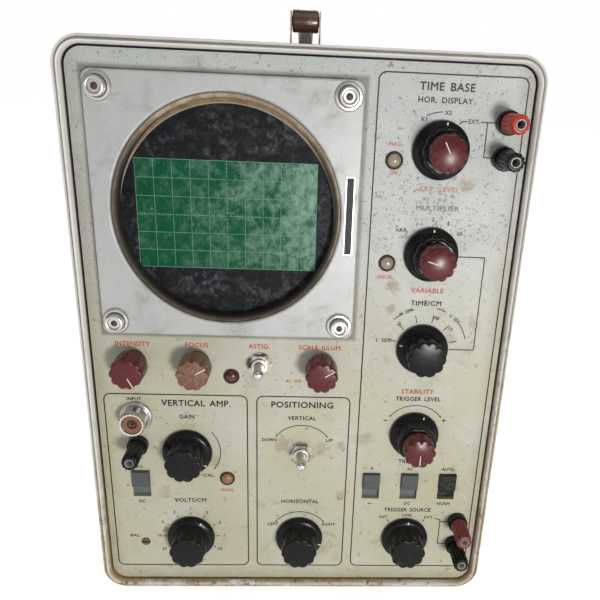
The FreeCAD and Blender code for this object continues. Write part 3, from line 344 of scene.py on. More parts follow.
def makePlastic(name, base, dust, rough, dusty=(0.5, 0.72), amount=0.6, scale=150, shine=0.5):
    finish, shader, spot = newFinish(name)
    tone = blendOf(noiseOf(spot, scale, 5), base, tuple(c * 1.35 + 0.004 for c in base))
    film = between(noiseOf(spot, scale * 0.9, 8, 0.7, 0.3), *dusty)
    grit = between(noiseOf(spot, scale * 7, 3), 0.66, 0.74)
    cover = times(maths("MAXIMUM", film, times(grit, 0.4)), amount)
    link(blendOf(cover, tone, dust), shader.inputs["Base Color"])
    link(total(spread(noiseOf(spot, scale * 2, 4), rough - 0.06, rough + 0.08),
               times(cover, 0.45)), shader.inputs["Roughness"])
    shader.inputs["Specular IOR Level"].default_value = shine
    bumpOf(shader, noiseOf(spot, scale * 5, 4), 0.00005, 0.35)
    return finish


graticule = dict(across=80.5, down=84.4, wide=100, tall=60, division=10, line=0.24, minor=2.0,
                 green=(0.001, 0.078, 0.030), pale=(0.31, 0.49, 0.39), dark=(0.008, 0.0085, 0.011),
                 dust=(0.15, 0.16, 0.17), ink=(0.16, 0.36, 0.24),
                 disc=(81, 84.3), discRadius=59.6)


def makeScreenFinish():
    finish, shader, spot = newFinish("dustyScreen")
    middle = onPanel(graticule["across"], graticule["down"])
    across, _, up = axesOf(spot)
    beside = minus(across, middle.x)
    above = minus(up, middle.z)
    inX = maths("LESS_THAN", maths("ABSOLUTE", beside), graticule["wide"] / 2 * mm)
    inZ = maths("LESS_THAN", maths("ABSOLUTE", above), graticule["tall"] / 2 * mm)
    window = times(inX, inZ)
    # a dusty haze that thickens towards the upper right, with streaks and specks in it
    slant = total(beside, times(above, 0.25))
    veil = between(slant, -0.045, 0.085)
    haze = noiseOf(stretched(spot, (1.0, 1.0, 0.8)), 210, 8, 0.72, 0.3)
    broad = noiseOf(spot, 42, 4)
    cover = total(times(haze, 0.75), times(broad, 0.35))
    cover = total(cover, spread(veil, -0.02, 0.09))
    thick = times(between(cover, 0.46, 0.76), spread(veil, 0.22, 1.0))
    green = blendOf(thick, graticule["green"], graticule["pale"])
    dust = between(noiseOf(spot, 230, 8, 0.78), 0.43, 0.74)
    cloud = between(noiseOf(spot, 48, 6), 0.40, 0.66)
    fleck = between(noiseOf(spot, 700, 2), 0.72, 0.76)
    film = times(dust, spread(cloud, 0.16, 0.95))
    dark = blendOf(maths("MAXIMUM", film, times(fleck, 0.7)),
                   graticule["dark"], graticule["dust"])
    green = blendOf(times(fleck, 0.5), green, (0.45, 0.55, 0.48))
    # the ring's worn shade that shows above and to the left of the black disc
    gap = distanceFrom(across, up, graticule["disc"])
    edge = graticule["discRadius"] * mm
    worn = spread(between(noiseOf(spot, 130, 6, 0.7), 0.4, 0.65), 0.45, 1.0)
    tan = blendOf(worn, (0.10, 0.065, 0.035), (0.34, 0.25, 0.145))
    dark = blendOf(between(gap, edge, edge + 0.0004), dark, tan)
    line = times(between(gap, edge - 0.0002, edge + 0.0001),
                 between(gap, edge + 0.0007, edge + 0.0004))
    dark = blendOf(times(line, 0.7), dark, (0.50, 0.45, 0.36))
    link(blendOf(window, dark, green), shader.inputs["Base Color"])
    link(spread(haze, 0.25, 0.6), shader.inputs["Roughness"])
    shader.inputs["Specular IOR Level"].default_value = 0.08
    return finish


def makeLeather(name, base):
    finish, shader, spot = newFinish(name)
    wear = between(noiseOf(spot, 70, 6, 0.65), 0.5, 0.75)
    link(blendOf(wear, base, tuple(c * 2.4 + 0.01 for c in base)), shader.inputs["Base Color"])
    link(spread(wear, 0.24, 0.46), shader.inputs["Roughness"])
    shader.inputs["Coat Weight"].default_value = 0.4
    shader.inputs["Coat Roughness"].default_value = 0.16
    grain = total(cellsOf(spot, 900), noiseOf(spot, 300, 5))
    bumpOf(shader, grain, 0.00018, 0.5)
    return finish


def makeCasePaint():
    finish, shader, spot = newFinish("cabinetPaint")
    tone = blendOf(noiseOf(spot, 14, 6, 0.6), (0.24, 0.25, 0.22), (0.32, 0.33, 0.29))
    scuff = between(noiseOf(spot, 55, 8, 0.7, 1.2), 0.6, 0.7)
    link(blendOf(times(scuff, 0.4), tone, (0.42, 0.41, 0.36)),
         shader.inputs["Base Color"])
    link(spread(noiseOf(spot, 60, 4), 0.38, 0.6), shader.inputs["Roughness"])
    # the wrinkled coat of a stove enamel
    bumpOf(shader, cellsOf(spot, 700, "SMOOTH_F1"), 0.00025, 0.4)
    return finish


def makeGlass(name, tint, rough=0.06):
    finish, shader, spot = newFinish(name)
    shader.inputs["Base Color"].default_value = (*tint, 1)
    shader.inputs["Transmission Weight"].default_value = 0.85
    link(spread(noiseOf(spot, 120, 4), rough, rough + 0.12), shader.inputs["Roughness"])
    return finish


finishes = {}


def makeFinishes():
    make = finishes.__setitem__
    make("panel", makePanelPaint())
    make("rim", makeRimMetal())
    make("bezel", makeMetal("silverBezelPaint", (0.50, 0.51, 0.505), (0.25, 0.245, 0.225), 0.42, 0.3,
                            (0.50, 0.80), 44, 0.15))
    make("plated", makeMetal("wornPlating", (0.66, 0.65, 0.61), (0.20, 0.14, 0.08), 0.24, 0.03,
                             (0.56, 0.76), 110))
    make("copper", makePlastic("agedInsert", (0.16, 0.064, 0.032), (0.22, 0.12, 0.08), 0.4, scale=200))
    make("satin", makeMetal("satinPlating", (0.60, 0.59, 0.56), (0.20, 0.14, 0.08), 0.30, 0.02,
                             (0.62, 0.82), 90, 0.75))
    make("agedNuts", makeMetal("agedNuts", (0.46, 0.44, 0.38), (0.09, 0.06, 0.03), 0.28, 0.05,
                               (0.42, 0.64), 150))
    make("sleeve", makeMetal("dullSleeve", (0.36, 0.35, 0.33), (0.14, 0.12, 0.10), 0.45, scale=200,
                             metal=0.35))
    # the DC balance shaft, dark brown all over
    make("shaftBrown", makeMetal("darkBrownSteel", (0.16, 0.12, 0.075), (0.05, 0.03, 0.015), 0.45, scale=300))
    make("pit", makePlastic("darkPit", (0.035, 0.016, 0.010), (0.10, 0.05, 0.03), 0.5, scale=200))
    make("chassis", makeMetal("chassisMetal", (0.62, 0.62, 0.61), (0.34, 0.33, 0.30), 0.38))
    make("shield", makeMetal("shieldMetal", (0.42, 0.42, 0.41), (0.24, 0.22, 0.20), 0.42))
    make("cans", makeMetal("capacitorCans", (0.70, 0.70, 0.70), (0.42, 0.41, 0.38), 0.25))
    make("bracket", makeMetal("bracketPlating", (0.46, 0.40, 0.30), (0.22, 0.14, 0.07), 0.42, 0.4,
                              (0.5, 0.68), 60, 0.7))
    make("black", makePlastic("wornBlackPlastic", (0.006, 0.006, 0.007), (0.11, 0.095, 0.07), 0.24,
                              (0.56, 0.80), 0.32, shine=0.15))
    make("red", makePlastic("darkRedPlastic", (0.085, 0.009, 0.011), (0.16, 0.06, 0.05), 0.27,
                            (0.55, 0.80), 0.3, shine=0.3))
    make("redPost", makePlastic("postRedPlastic", (0.42, 0.022, 0.012), (0.26, 0.06, 0.04), 0.28,
                                (0.6, 0.82), 0.3, shine=0.3))
    make("dullRed", makePlastic("dullRedPlastic", (0.17, 0.022, 0.022), (0.24, 0.09, 0.08), 0.32,
                                (0.58, 0.80), 0.35, shine=0.4))
    make("faded", makeFadedFace())
    make("grey", makeSlider("greySwitch", (0.085, 0.090, 0.093), (0.15, 0.155, 0.16)))
    make("switchBlack", makeSlider("blackSwitch", (0.007, 0.007, 0.006), (0.013, 0.012, 0.011)))
    make("switchWell", makePlastic("switchWell", (0.30, 0.31, 0.30), (0.14, 0.13, 0.11), 0.6))
    make("seal", makeSealFinish())
    make("rubber", makePlastic("footRubber", (0.02, 0.02, 0.02), (0.11, 0.10, 0.09), 0.7))
    make("board", makePlastic("phenolicBoard", (0.20, 0.10, 0.04), (0.30, 0.22, 0.14), 0.45, scale=60))
    make("enamel", makePlastic("blackEnamel", (0.02, 0.02, 0.023), (0.10, 0.09, 0.08), 0.35, scale=60))
    make("foam", makePlastic("filterFoam", (0.045, 0.05, 0.045), (0.15, 0.14, 0.12), 0.9, scale=300))
    make("lens", makePlastic("dulledLens", (0.30, 0.25, 0.19), (0.16, 0.13, 0.10), 0.12, (0.45, 0.7), 0.7))
    make("amber", makePlastic("amberLens", (0.30, 0.15, 0.055), (0.12, 0.07, 0.04), 0.12, (0.45, 0.7), 0.7))
    make("pilot", makePlastic("redLens", (0.085, 0.016, 0.018), (0.20, 0.10, 0.09), 0.12, (0.5, 0.7), 0.5))
    make("screen", makeScreenFinish())
    make("leather", makeLeather("darkStrapLeather", (0.060, 0.024, 0.012)))
    make("case", makeCasePaint())
    make("glass", makeGlass("valveGlass", (0.9, 0.93, 0.92)))
    make("tube", makeGlass("tubeGlass", (0.6, 0.72, 0.66)))
    make("ink", plainInk("darkInk", (0.020, 0.021, 0.021), (0.11, 0.11, 0.10), 0.55))
    make("redInk", plainInk("redInk", (0.52, 0.080, 0.045), (0.56, 0.25, 0.19), 0.6))
    make("palerInk", plainInk("rubbedInk", (0.24, 0.24, 0.22), (0.42, 0.42, 0.38)))
    make("palerRed", plainInk("rubbedRedInk", (0.60, 0.26, 0.20), (0.56, 0.45, 0.38)))
    make("white", plainInk("whiteFilling", (0.80, 0.78, 0.72), (0.46, 0.42, 0.36)))
    make("field", plainFinish("plateField", (0.010, 0.010, 0.012), 0.6))
    make("thread", plainFinish("strapThread", (0.30, 0.22, 0.13), 0.7))
    make("rule", plainInk("screenRule", graticule["ink"], (0.10, 0.30, 0.18)))
    make("plate", makeMetal("blankPlate", (0.58, 0.58, 0.56), (0.34, 0.30, 0.26), 0.32, 0.2,
                            (0.6, 0.78), 220))


def plainInk(name, colour, worn, fade=0.0):
    # printed or filled marks, rubbed thin here and there
    finish, shader, spot = newFinish(name)
    across, _, up = axesOf(spot)
    rub = between(noiseOf(spot, 420, 5, 0.65), 0.55, 0.75)
    # the marks round the upper right of the panel are the palest
    paler = times(between(across, panelLow.x + 0.150, panelLow.x + 0.165),
                  between(up, panelTop - 0.150, panelTop - 0.090))
    colour = blendOf(times(paler, fade), colour, worn)
    link(blendOf(rub, colour, worn), shader.inputs["Base Color"])
    link(spread(rub, 0.7, 0.85), shader.inputs["Roughness"])
    shader.inputs["Specular IOR Level"].default_value = 0.2
    return finish


def makeSlider(name, grip, plate):
    # a ribbed grip; the plate under the slot is painted paler than the grip, painted light against the shade
    # of its recess
    finish, shader, spot = newFinish(name)
    _, depth, _ = axesOf(spot)
    litPlate = between(depth, panelFace + 0.0012, panelFace + 0.0018)
    lines = between(noiseOf(stretched(spot, (0.3, 1.0, 2.4)), 520, 5, 0.6), 0.45, 0.75)
    # painted light: the plate sunk under the panel face takes the paler colour
    colour = blendOf(litPlate, grip, plate)
    link(blendOf(times(lines, 0.35), colour, (0.20, 0.20, 0.19)),
         shader.inputs["Base Color"])
    link(spread(lines, 0.35, 0.6), shader.inputs["Roughness"])
    bumpOf(shader, lines, 0.00006, 0.3)
    shader.inputs["Specular IOR Level"].default_value = 0.2
    return finish


rimPaint = dict(base=(0.78, 0.765, 0.72), bright=(0.90, 0.89, 0.855), groove=(0.17, 0.145, 0.11),
                gap=(0.02, 0.018, 0.015), tan=(0.38, 0.265, 0.105), pit=(0.10, 0.055, 0.025),
                # where each band starts and stops, outwards from the panel's opening; the groove and gap
                # colours are painted shade
                grooveIn=(1.9, 2.6), grooveOut=(4.0, 3.5), gapEdge=(0.6, 0.2),
                crestIn=(0.7, 1.2), crestOut=(2.6, 1.9))


def makeRimMetal():
    # dull polished moulding: bright above, stained brown along the foot and the lower right, with painted
    # shade on its outer slope and along its inner edge
    finish, shader, spot = newFinish("stainedRim")
    across, _, up = axesOf(spot)
    foot = between(up, panelLow.z + 0.13, panelLow.z + 0.01)
    right = between(across, panelHigh.x - 0.02, panelHigh.x + 0.002)
    right = times(right, between(up, panelTop - 0.06, panelTop - 0.22))
    aged = maths("MAXIMUM", foot, times(right, 0.5))
    # how far outwards from the panel's opening, for the bands of the moulding
    middle, inner = onPanel(rimShape["wide"] / 2, rimShape["tall"] / 2), rimShape["corner"] * mm
    reach = []
    for value, centre, half in ((across, middle.x, rimShape["wide"] / 2),
                                (up, middle.z, rimShape["tall"] / 2)):
        gap = maths("ABSOLUTE", minus(value, centre))
        gap = maths("MAXIMUM", minus(gap, half * mm - inner), 0.0)
        reach.append(maths("POWER", gap, 2.0))
    away = minus(maths("SQRT", total(*reach)), inner)
    band = {name: between(away, *(edge * mm for edge in rimPaint[name]))
            for name in ("grooveIn", "grooveOut", "gapEdge", "crestIn", "crestOut")}
    tone = blendOf(noiseOf(spot, 60, 6), rimPaint["base"], rimPaint["bright"])
    # painted shade: the outer slope of the bead and its groove are darkened all round the rim
    shaded = times(band["grooveIn"], band["grooveOut"])
    shaded = times(shaded, spread(noiseOf(spot, 70, 6, 0.65), 0.65, 1.0))
    tone = blendOf(shaded, tone, rimPaint["groove"])
    # painted shade: near black along the inner edge, in the gap against the panel
    tone = blendOf(band["gapEdge"], tone, rimPaint["gap"])
    blotch = between(noiseOf(spot, 40, 8, 0.7, 0.8), 0.30, 0.55)
    crest = times(band["crestIn"], band["crestOut"])
    tan = times(blotch, spread(aged, 0.0, 0.95))
    tan = times(tan, spread(crest, 1.0, 0.45))
    tone = blendOf(tan, tone, rimPaint["tan"])
    pits = between(noiseOf(spot, 170, 6, 0.7), 0.53, 0.66)
    marks = times(pits, spread(aged, 0.05, 0.9))
    link(blendOf(marks, tone, rimPaint["pit"]), shader.inputs["Base Color"])
    shader.inputs["Metallic"].default_value = 0.12
    rough = spread(noiseOf(spot, 130, 5), 0.26, 0.36)
    link(total(rough, times(marks, 0.3)), shader.inputs["Roughness"])
    bumpOf(shader, noiseOf(spot, 300, 4), 0.00004, 0.15)
    return finish


sealShape = dict(centre=(81.4, 81.5), outer=62.25)


def makeSealFinish():
    # pale and stained at its front edge, dark down towards the screen
    finish, shader, spot = newFinish("agedSeal")
    across, depth, up = axesOf(spot)
    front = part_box("light_seal")[0].y
    inside = between(depth, front + 0.0008, front + 0.0050)
    low = between(up, panelTop - 0.070, panelTop - 0.125)
    left = between(across, panelLow.x + 0.050, panelLow.x + 0.022)
    stain = between(noiseOf(spot, 120, 7, 0.7, 0.5), 0.36, 0.58)
    tone = blendOf(times(stain, 0.7), (0.46, 0.38, 0.26), (0.20, 0.125, 0.06))
    tone = blendOf(times(left, 0.8), tone, (0.09, 0.075, 0.055))
    dirty = times(low, spread(stain, 0.88, 1.0))
    tone = blendOf(dirty, tone, (0.034, 0.020, 0.009))
    # the lip's inner half is darker, except along the top
    gap = distanceFrom(across, up, sealShape["centre"])
    core = between(gap, (sealShape["outer"] - 0.7) * mm, (sealShape["outer"] - 1.5) * mm)
    core = times(core, between(up, panelTop - 0.030, panelTop - 0.060))
    tone = blendOf(times(core, 0.88), tone, (0.030, 0.022, 0.015))
    link(blendOf(inside, tone, (0.018, 0.015, 0.012)), shader.inputs["Base Color"])
    link(spread(stain, 0.45, 0.7), shader.inputs["Roughness"])
    return finish


def makeFadedFace():
    # a red knob whose face has gone brown and crackled
    finish, shader, spot = newFinish("fadedRedPlastic")
    worn = between(noiseOf(spot, 380, 8, 0.75, 0.8), 0.38, 0.58)
    pale = between(noiseOf(spot, 900, 6, 0.7), 0.52, 0.66)
    colour = blendOf(worn, (0.13, 0.030, 0.018), (0.17, 0.082, 0.036))
    link(blendOf(times(pale, 0.7), colour, (0.40, 0.28, 0.17)),
         shader.inputs["Base Color"])
    link(spread(worn, 0.25, 0.5), shader.inputs["Roughness"])
    bumpOf(shader, worn, 0.00012, 0.4)
    return finish


# the CAD's nodes by finish
framePaint = {
    "panel": "front_panel",
    "rim": "front_rim",
    "bezel": "crt_bezel",
    "satin": "cover_screws",
    "agedNuts": "control_nuts",
    "shaftBrown": "dc_balance_shaft",
    "seal": "light_seal",
    "screen": "graticule",
    "tube": "crt",
    "glass": "vacuum_tubes",
    "shield": "crt_shield",
    "chassis": "chassis_plates chassis_rails potentiometers rotary_switches fan_blades",
    "cans": "filter_capacitors",
    "case": "rear_panel left_cover right_cover top_cover bottom_cover",
    "rubber": "feet",
    "bracket": "handle_brackets",
    "leather": "handle_strap",
    "enamel": "power_transformer fan_motor",
    "board": "terminal_boards",
    "switchWell": "slide_switch_bodies",
    "lens": "indicator_lamps",
    "foam": "air_filter",
    "black": "binding_post_bases power_inlet gain_knob volts_per_division_knob "
             "horizontal_position_knob display_knob multiplier_knob time_per_division_knob "
             "trigger_level_knob trigger_source_knob post_cap_time_ground post_cap_trigger_ground "
             "post_cap_input_ground",
    "switchBlack": "trigger_mode_slider",
    "red": "intensity_knob external_gain_knob variable_time_knob stability_knob "
           "scale_illumination_knob",
    "faded": "focus_knob",
    "redPost": "post_cap_time_upper",
    "dullRed": "post_cap_trigger",
    "grey": "input_coupling_slider trigger_slope_slider trigger_coupling_slider"}


def paintFrame():
    for finish, names in framePaint.items():
        for name in names.split():
            nodes[name].data.materials.clear()
            nodes[name].data.materials.append(finishes[finish])


# ---- mesh helpers ----

def meshObject(name, bm):
    mesh = bpy.data.meshes.new(name)
    bm.normal_update()
    bm.to_mesh(mesh)
    bm.free()
    made = bpy.data.objects.new(name, mesh)
    bpy.context.scene.collection.objects.link(made)
    return made


def finishPiece(name, bm, finish, body="cabinet", smooth=None):
    made = meshObject(name, bm)
    made.data.materials.append(finishes[finish])
    if smooth is not None:
        made.data.shade_smooth()
        made.data.set_sharp_from_angle(angle=math.radians(smooth))
    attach(made, body)
    return made


def spinShape(profile, centre, steps=96):
    # a closed shape turned about a line square to the panel, from (radius, out) pairs in millimetres
    bm = bmesh.new()
    spots = [bm.verts.new(onPanel(centre[0] + radius, centre[1], out)) for radius, out in profile]
    edges = [bm.edges.new(pair) for pair in zip(spots, spots[1:])]
    bmesh.ops.spin(bm, geom=spots + edges, cent=onPanel(*centre), axis=(0, 1, 0), dvec=(0, 0, 0),
                   angle=2 * math.pi, steps=steps, use_merge=True)
    bmesh.ops.remove_doubles(bm, verts=bm.verts[:], dist=1e-6)
    bmesh.ops.recalc_face_normals(bm, faces=bm.faces[:])
    return bm


def scallop(bm, centre, count, deep, inner, low, high, sharp=0.8):
    # lobes round the side: none below low, the full depth above high, the innermost part left round
    for vert in bm.verts:
        x = (vert.co.x - panelLeft) / mm - centre[0]
        y = (panelTop - vert.co.z) / mm - centre[1]
        out = (panelFace - vert.co.y) / mm
        radius = math.hypot(x, y)
        if radius <= inner or out <= low:
            continue
        rise = min(1.0, (out - low) / max(high - low, 1e-6))
        rise = rise * rise * (3 - 2 * rise) * min(1.0, (radius - inner) / 2.0)
        valley = 1 - abs(math.cos(count * math.atan2(y, x) / 2)) ** sharp
        vert.co.x -= x / radius * deep * rise * valley * mm
        vert.co.z += y / radius * deep * rise * valley * mm


def addBar(bm, start, end, wide, out, thick):
    # a thin straight bar on the panel between two (across, down) places
    a, b = onPanel(*start, out), onPanel(*end, out)
    run = b - a
    made = bmesh.ops.create_cube(bm, size=1.0)["verts"]
    turn = math.atan2(run.z, run.x)
    shape = (Matrix.Translation((a + b) / 2) @ Matrix.Rotation(-turn, 4, "Y")
             @ Matrix.Diagonal((run.length, thick * mm, wide * mm, 1)))
    bmesh.ops.transform(bm, matrix=shape, verts=made)


def around(centre, radius, angle):
    # the (across, down) place at a clock angle from straight up, clockwise
    turn = math.radians(angle)
    return (centre[0] + radius * math.sin(turn), centre[1] - radius * math.cos(turn))


def addPath(bm, places, wide, closed=False):
    count = len(places)
    for i in range(count if closed else count - 1):
        addBar(bm, places[i], places[(i + 1) % count], wide, legend["out"], legend["thick"])


def addWord(bm, text, across, down, cap, wide=None, turn=0.0):
    curve = bpy.data.curves.new("word", "FONT")
    curve.body = text
    curve.align_x, curve.align_y = "CENTER", "CENTER"
    curve.extrude = legend["wordThick"] * mm / 2
    curve.size = cap * mm / 0.72
    curve.space_word, curve.space_character = 1.6, 1.08
    curve.resolution_u = 3
    holder = bpy.data.objects.new("word", curve)
    bpy.context.scene.collection.objects.link(holder)
    bpy.context.view_layer.update()
    mesh = bpy.data.meshes.new_from_object(holder)
    bpy.data.objects.remove(holder)
    span = max(v.co.x for v in mesh.vertices) - min(v.co.x for v in mesh.vertices)
    stretch = wide * mm / span if wide else 1.0
    place = (Matrix.Translation(onPanel(across, down, legend["out"]))
             @ Matrix.Rotation(math.radians(90), 4, "X") @ Matrix.Rotation(math.radians(-turn), 4, "Z")
             @ Matrix.Diagonal((stretch, 1, 1, 1)))
    mesh.transform(place)
    # printed a little bolder by laying the word down four times, each a hair to one side
    swell = cap * legend["bold"] * mm
    shifts = [Vector((swell, 0, 0)), Vector((-swell, -0.000004, 0)), Vector((0, -0.000008, swell)),
              Vector((0, -0.000012, -swell))]
    last = Vector()
    for shift in shifts:
        mesh.transform(Matrix.Translation(shift - last))
        last = shift
        bm.from_mesh(mesh)
    bpy.data.meshes.remove(mesh)


# ---- legends ----

legend = dict(out=0.04, thick=0.06, wordThick=0.05, line=0.74, bold=0.034, boxCorner=4.0)
darkWords = [
    # words, across, down, letter height, width
    ("TIME BASE", 197, 12.2, 4.1, 29.2), ("HOR. DISPLAY", 196.4, 18.8, 2.9, 29),
    ("X5", 198.7, 24.8, 2.2, 3.6), ("X1", 186.0, 28.4, 2.2, 3.4), ("EXT.", 212.9, 28.8, 2.3, 6.2),
    ("VAR.", 178.6, 87.6, 2.4, 7),
    ("1", 187.0, 84.0, 2.2, None), ("2", 195.8, 81.2, 2.2, None), ("5", 204.8, 83.4, 2.2, None),
    ("10", 211.6, 88.6, 2.2, None), ("TIME/CM", 196.4, 130.2, 2.9, 18),
    ("1 SEC", 172.6, 153.9, 2.3, 9), ("TRIGGER LEVEL", 197, 192.3, 2.8, 28),
    ("-", 177.6, 207, 3.2, 2.2), ("+", 214.6, 207, 3.0, 2.4), ("TRIGGER", 196.2, 236.8, 2.8, 16.5),
    ("+", 171.2, 242.4, 2.8, 2.2), ("-", 171.2, 268.7, 3.0, 2.2), ("AC", 196.2, 242.4, 2.2, 4),
    ("DC", 196.2, 268.7, 2.2, 4), ("AUTO.", 221.4, 242.4, 2.2, 8.6), ("NORM.", 220.8, 268.7, 2.2, 9),
    ("TRIGGER SOURCE", 196.8, 273.8, 2.8, 31), ("INT.", 181.2, 279.5, 2.2, 5.4),
    ("LINE", 196.8, 278.0, 2.0, 6.2), ("EXT.", 211.9, 279.4, 2.2, 6.2),
    ("VERTICAL AMP.", 60.2, 198, 4.1, 41.7), ("INPUT", 22.6, 195.6, 2.2, 8.6),
    ("AC", 23, 243.0, 2.2, 4), ("DC", 23, 268.8, 2.2, 4), ("GAIN", 54.2, 207.2, 2.8, 9),
    ("CAL.", 66.8, 248.9, 2.2, 6.6), ("VOLTS/CM", 54.2, 267.7, 2.8, 20.4),
    ("BAL.", 17.0, 295.5, 2.2, 6.4), ("POSITIONING", 125.2, 197.9, 4.1, 38),
    ("VERTICAL", 125.2, 207, 2.7, 17.6), ("DOWN", 105.0, 222.5, 2.2, 9), ("UP", 142.6, 222.3, 2.2, 4.2),
    ("HORIZONTAL", 125.2, 268, 2.7, 24.4), ("LEFT", 107.6, 285.8, 2.2, 6.8),
    ("RIGHT", 144.6, 285.8, 2.2, 8.6)]
redWords = [
    ("INTENSITY", 24.2, 159.7, 2.9, 20), ("FOCUS", 61.7, 159.7, 2.9, 13.4),
    ("ASTIG.", 98.8, 159.7, 2.9, 12.6), ("SCALE ILLUM.", 135.2, 159.7, 2.9, 26),
    ("AC OFF", 119.6, 181.8, 2.0, 9.5), ("UNCAL.", 78.2, 259.7, 2.2, 9.4),
    ("MAG.", 171.7, 41.7, 2.2, 7.4), ("ON", 171.5, 56.6, 2.2, 4),
    ("UNCAL.", 171.3, 115.0, 2.2, 9.6), ("VARIABLE", 196.4, 122.6, 2.9, 19),
    ("STABILITY", 196.2, 187.2, 2.9, 20)]
voltSteps = ["20", "10", "5", "2", "1", ".5", ".2", ".1", ".05"]
palerWords = [("MULTIPLIER", 197.6, 75.0, 2.8, 24), ("X1", 190.6, 70.0, 2.0, 3.2)]
palerRed = [("EXT. LEVEL", 197.6, 64.7, 2.6, 22)]
boxes = [(4.7, 192.2, 91.3, 319.2), (97.2, 192.2, 154.7, 319.2), (160.7, 6.0, 239.9, 319.2)]


def makeLegends():
    ink, line = bmesh.new(), legend["line"]
    for text, across, down, cap, wide in darkWords:
        addWord(ink, text, across, down, cap, wide)
    corner = legend["boxCorner"]
    for left, top, right, low in boxes:
        places = []
        pivots = ((right - corner, top + corner, 0), (right - corner, low - corner, 90),
                  (left + corner, low - corner, 180), (left + corner, top + corner, 270))
        for x, y, begin in pivots:
            places += [around((x, y), corner, begin + 15 * i) for i in range(7)]
        addPath(ink, places, line, closed=True)
    volts = (53.8, 295.5)
    for i, step in enumerate(voltSteps):
        angle = -120 + 30 * i
        addPath(ink, [around(volts, 16.6, angle), around(volts, 18.2, angle)], line * 0.8)
        spot = around(volts, 21.2, angle)
        addWord(ink, step, spot[0], spot[1], 2.1)
    timing = (196.3, 158.7)
    for angle in (-75, -45, -15, 15, 45, 75):
        addPath(ink, [around(timing, 16.8, angle), around(timing, 21.5, angle)], line * 0.7)
    arcs = [(timing, 25.6, -45, -32), (timing, 25.6, -22, -15), (timing, 26.5, 15, 28),
            (timing, 26.5, 48, 75), ((53.8, 231.5), 20.5, 48, 122), ((125.3, 232), 20.2, -48, 48),
            ((125.3, 295.9), 20.0, -48, 48), ((196.3, 216.8), 20.2, -48, 48),
            ((196.3, 44), 19.6, -28, -2)]
    for centre, radius, low, high in arcs:
        count = max(3, int((high - low) / 5))
        places = [around(centre, radius, low + (high - low) * i / count) for i in range(count + 1)]
        addPath(ink, places, line * 0.7)
    heads = [((53.8, 231.5), 20.5, 122, 1)]
    heads += [(centre, radius, 48 * way, way) for way in (-1, 1)
              for centre, radius in (((125.3, 232), 20.2), ((125.3, 295.9), 20.0), ((196.3, 216.8), 20.2))]
    for centre, radius, angle, way in heads:
        addArrow(ink, around(centre, radius, angle + way * 3), angle + 90 * way)
    for text, across, down, turn in (("M SEC", 185.0, 135.8, -26), ("10", 181.2, 143.6, -45),
                                     ("100", 202.8, 139.0, 15), ("U SEC", 214.4, 139.4, 38),
                                     ("10", 212.4, 145.6, 45)):
        addWord(ink, text, across, down, 2.0, turn=turn)
    links = [[(205.3, 30.2), (206.4, 28.8), (209.0, 28.8)], [(216.8, 28.8), (225.6, 28.8)],
             [(220.2, 28.8), (220.2, 46.8), (225.4, 46.8)],
             [(212.4, 101.9), (227.8, 101.9), (227.8, 158.8), (212.6, 158.8)],
             [(215.8, 280.0), (219.6, 281.4), (219.6, 300.6), (225.0, 300.6)],
             [(219.6, 282.8), (225.4, 282.8)], [(183.6, 281.2), (185.2, 283.2)],
             [(196.4, 279.6), (196.4, 280.2)], [(208.8, 281.2), (207.4, 283.2)]]
    for places in links:
        addPath(ink, places, line * 0.8)
    finishPiece("dark_legend", ink, "ink")
    red = bmesh.new()
    for text, across, down, cap, wide in redWords:
        addWord(red, text, across, down, cap, wide)
    finishPiece("red_legend", red, "redInk")
    for name, words, ink in (("rubbed_legend", palerWords, "palerInk"),
                             ("rubbed_red", palerRed, "palerRed")):
        bm = bmesh.new()
        for text, across, down, cap, wide in words:
            addWord(bm, text, across, down, cap, wide)
        finishPiece(name, bm, ink)


def addArrow(bm, place, heading):
    made = bmesh.ops.create_cone(bm, cap_ends=True, segments=3, radius1=1.0, radius2=1.0,
                                 depth=legend["thick"])
    shape = (Matrix.Translation(onPanel(*place, legend["out"])) @ Matrix.Rotation(math.radians(90), 4, "X")
             @ Matrix.Rotation(math.radians(-heading), 4, "Z")
             @ Matrix.Diagonal((0.8 * mm, 1.3 * mm, mm, 1)))
    bmesh.ops.transform(bm, matrix=shape, verts=made["verts"])


def makeScreenRules():
    screen = bmesh.new()
    face = (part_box("graticule")[0].y - panelFace) / mm
    out = -face + 0.04
    left = graticule["across"] - graticule["wide"] / 2
    top = graticule["down"] - graticule["tall"] / 2
    step, line = graticule["division"], graticule["line"]
    for i in range(graticule["wide"] // step + 1):
        x = left + i * step
        addBar(screen, (x, top), (x, top + graticule["tall"]), line, out, 0.05)
    for i in range(graticule["tall"] // step + 1):
        y = top + i * step
        addBar(screen, (left, y), (left + graticule["wide"], y), line, out, 0.05)
    minor, tick = graticule["minor"], 0.9
    for i in range(1, int(graticule["wide"] / minor)):
        x = left + i * minor
        addBar(screen, (x, graticule["down"] - tick), (x, graticule["down"] + tick), line * 0.6, out, 0.05)
    for i in range(1, int(graticule["tall"] / minor)):
        y = top + i * minor
        start, end = (graticule["across"] - tick, y), (graticule["across"] + tick, y)
        addBar(screen, start, end, line * 0.6, out, 0.05)
    finishPiece("screen_rules", screen, "rule")


# ---- knobs ----

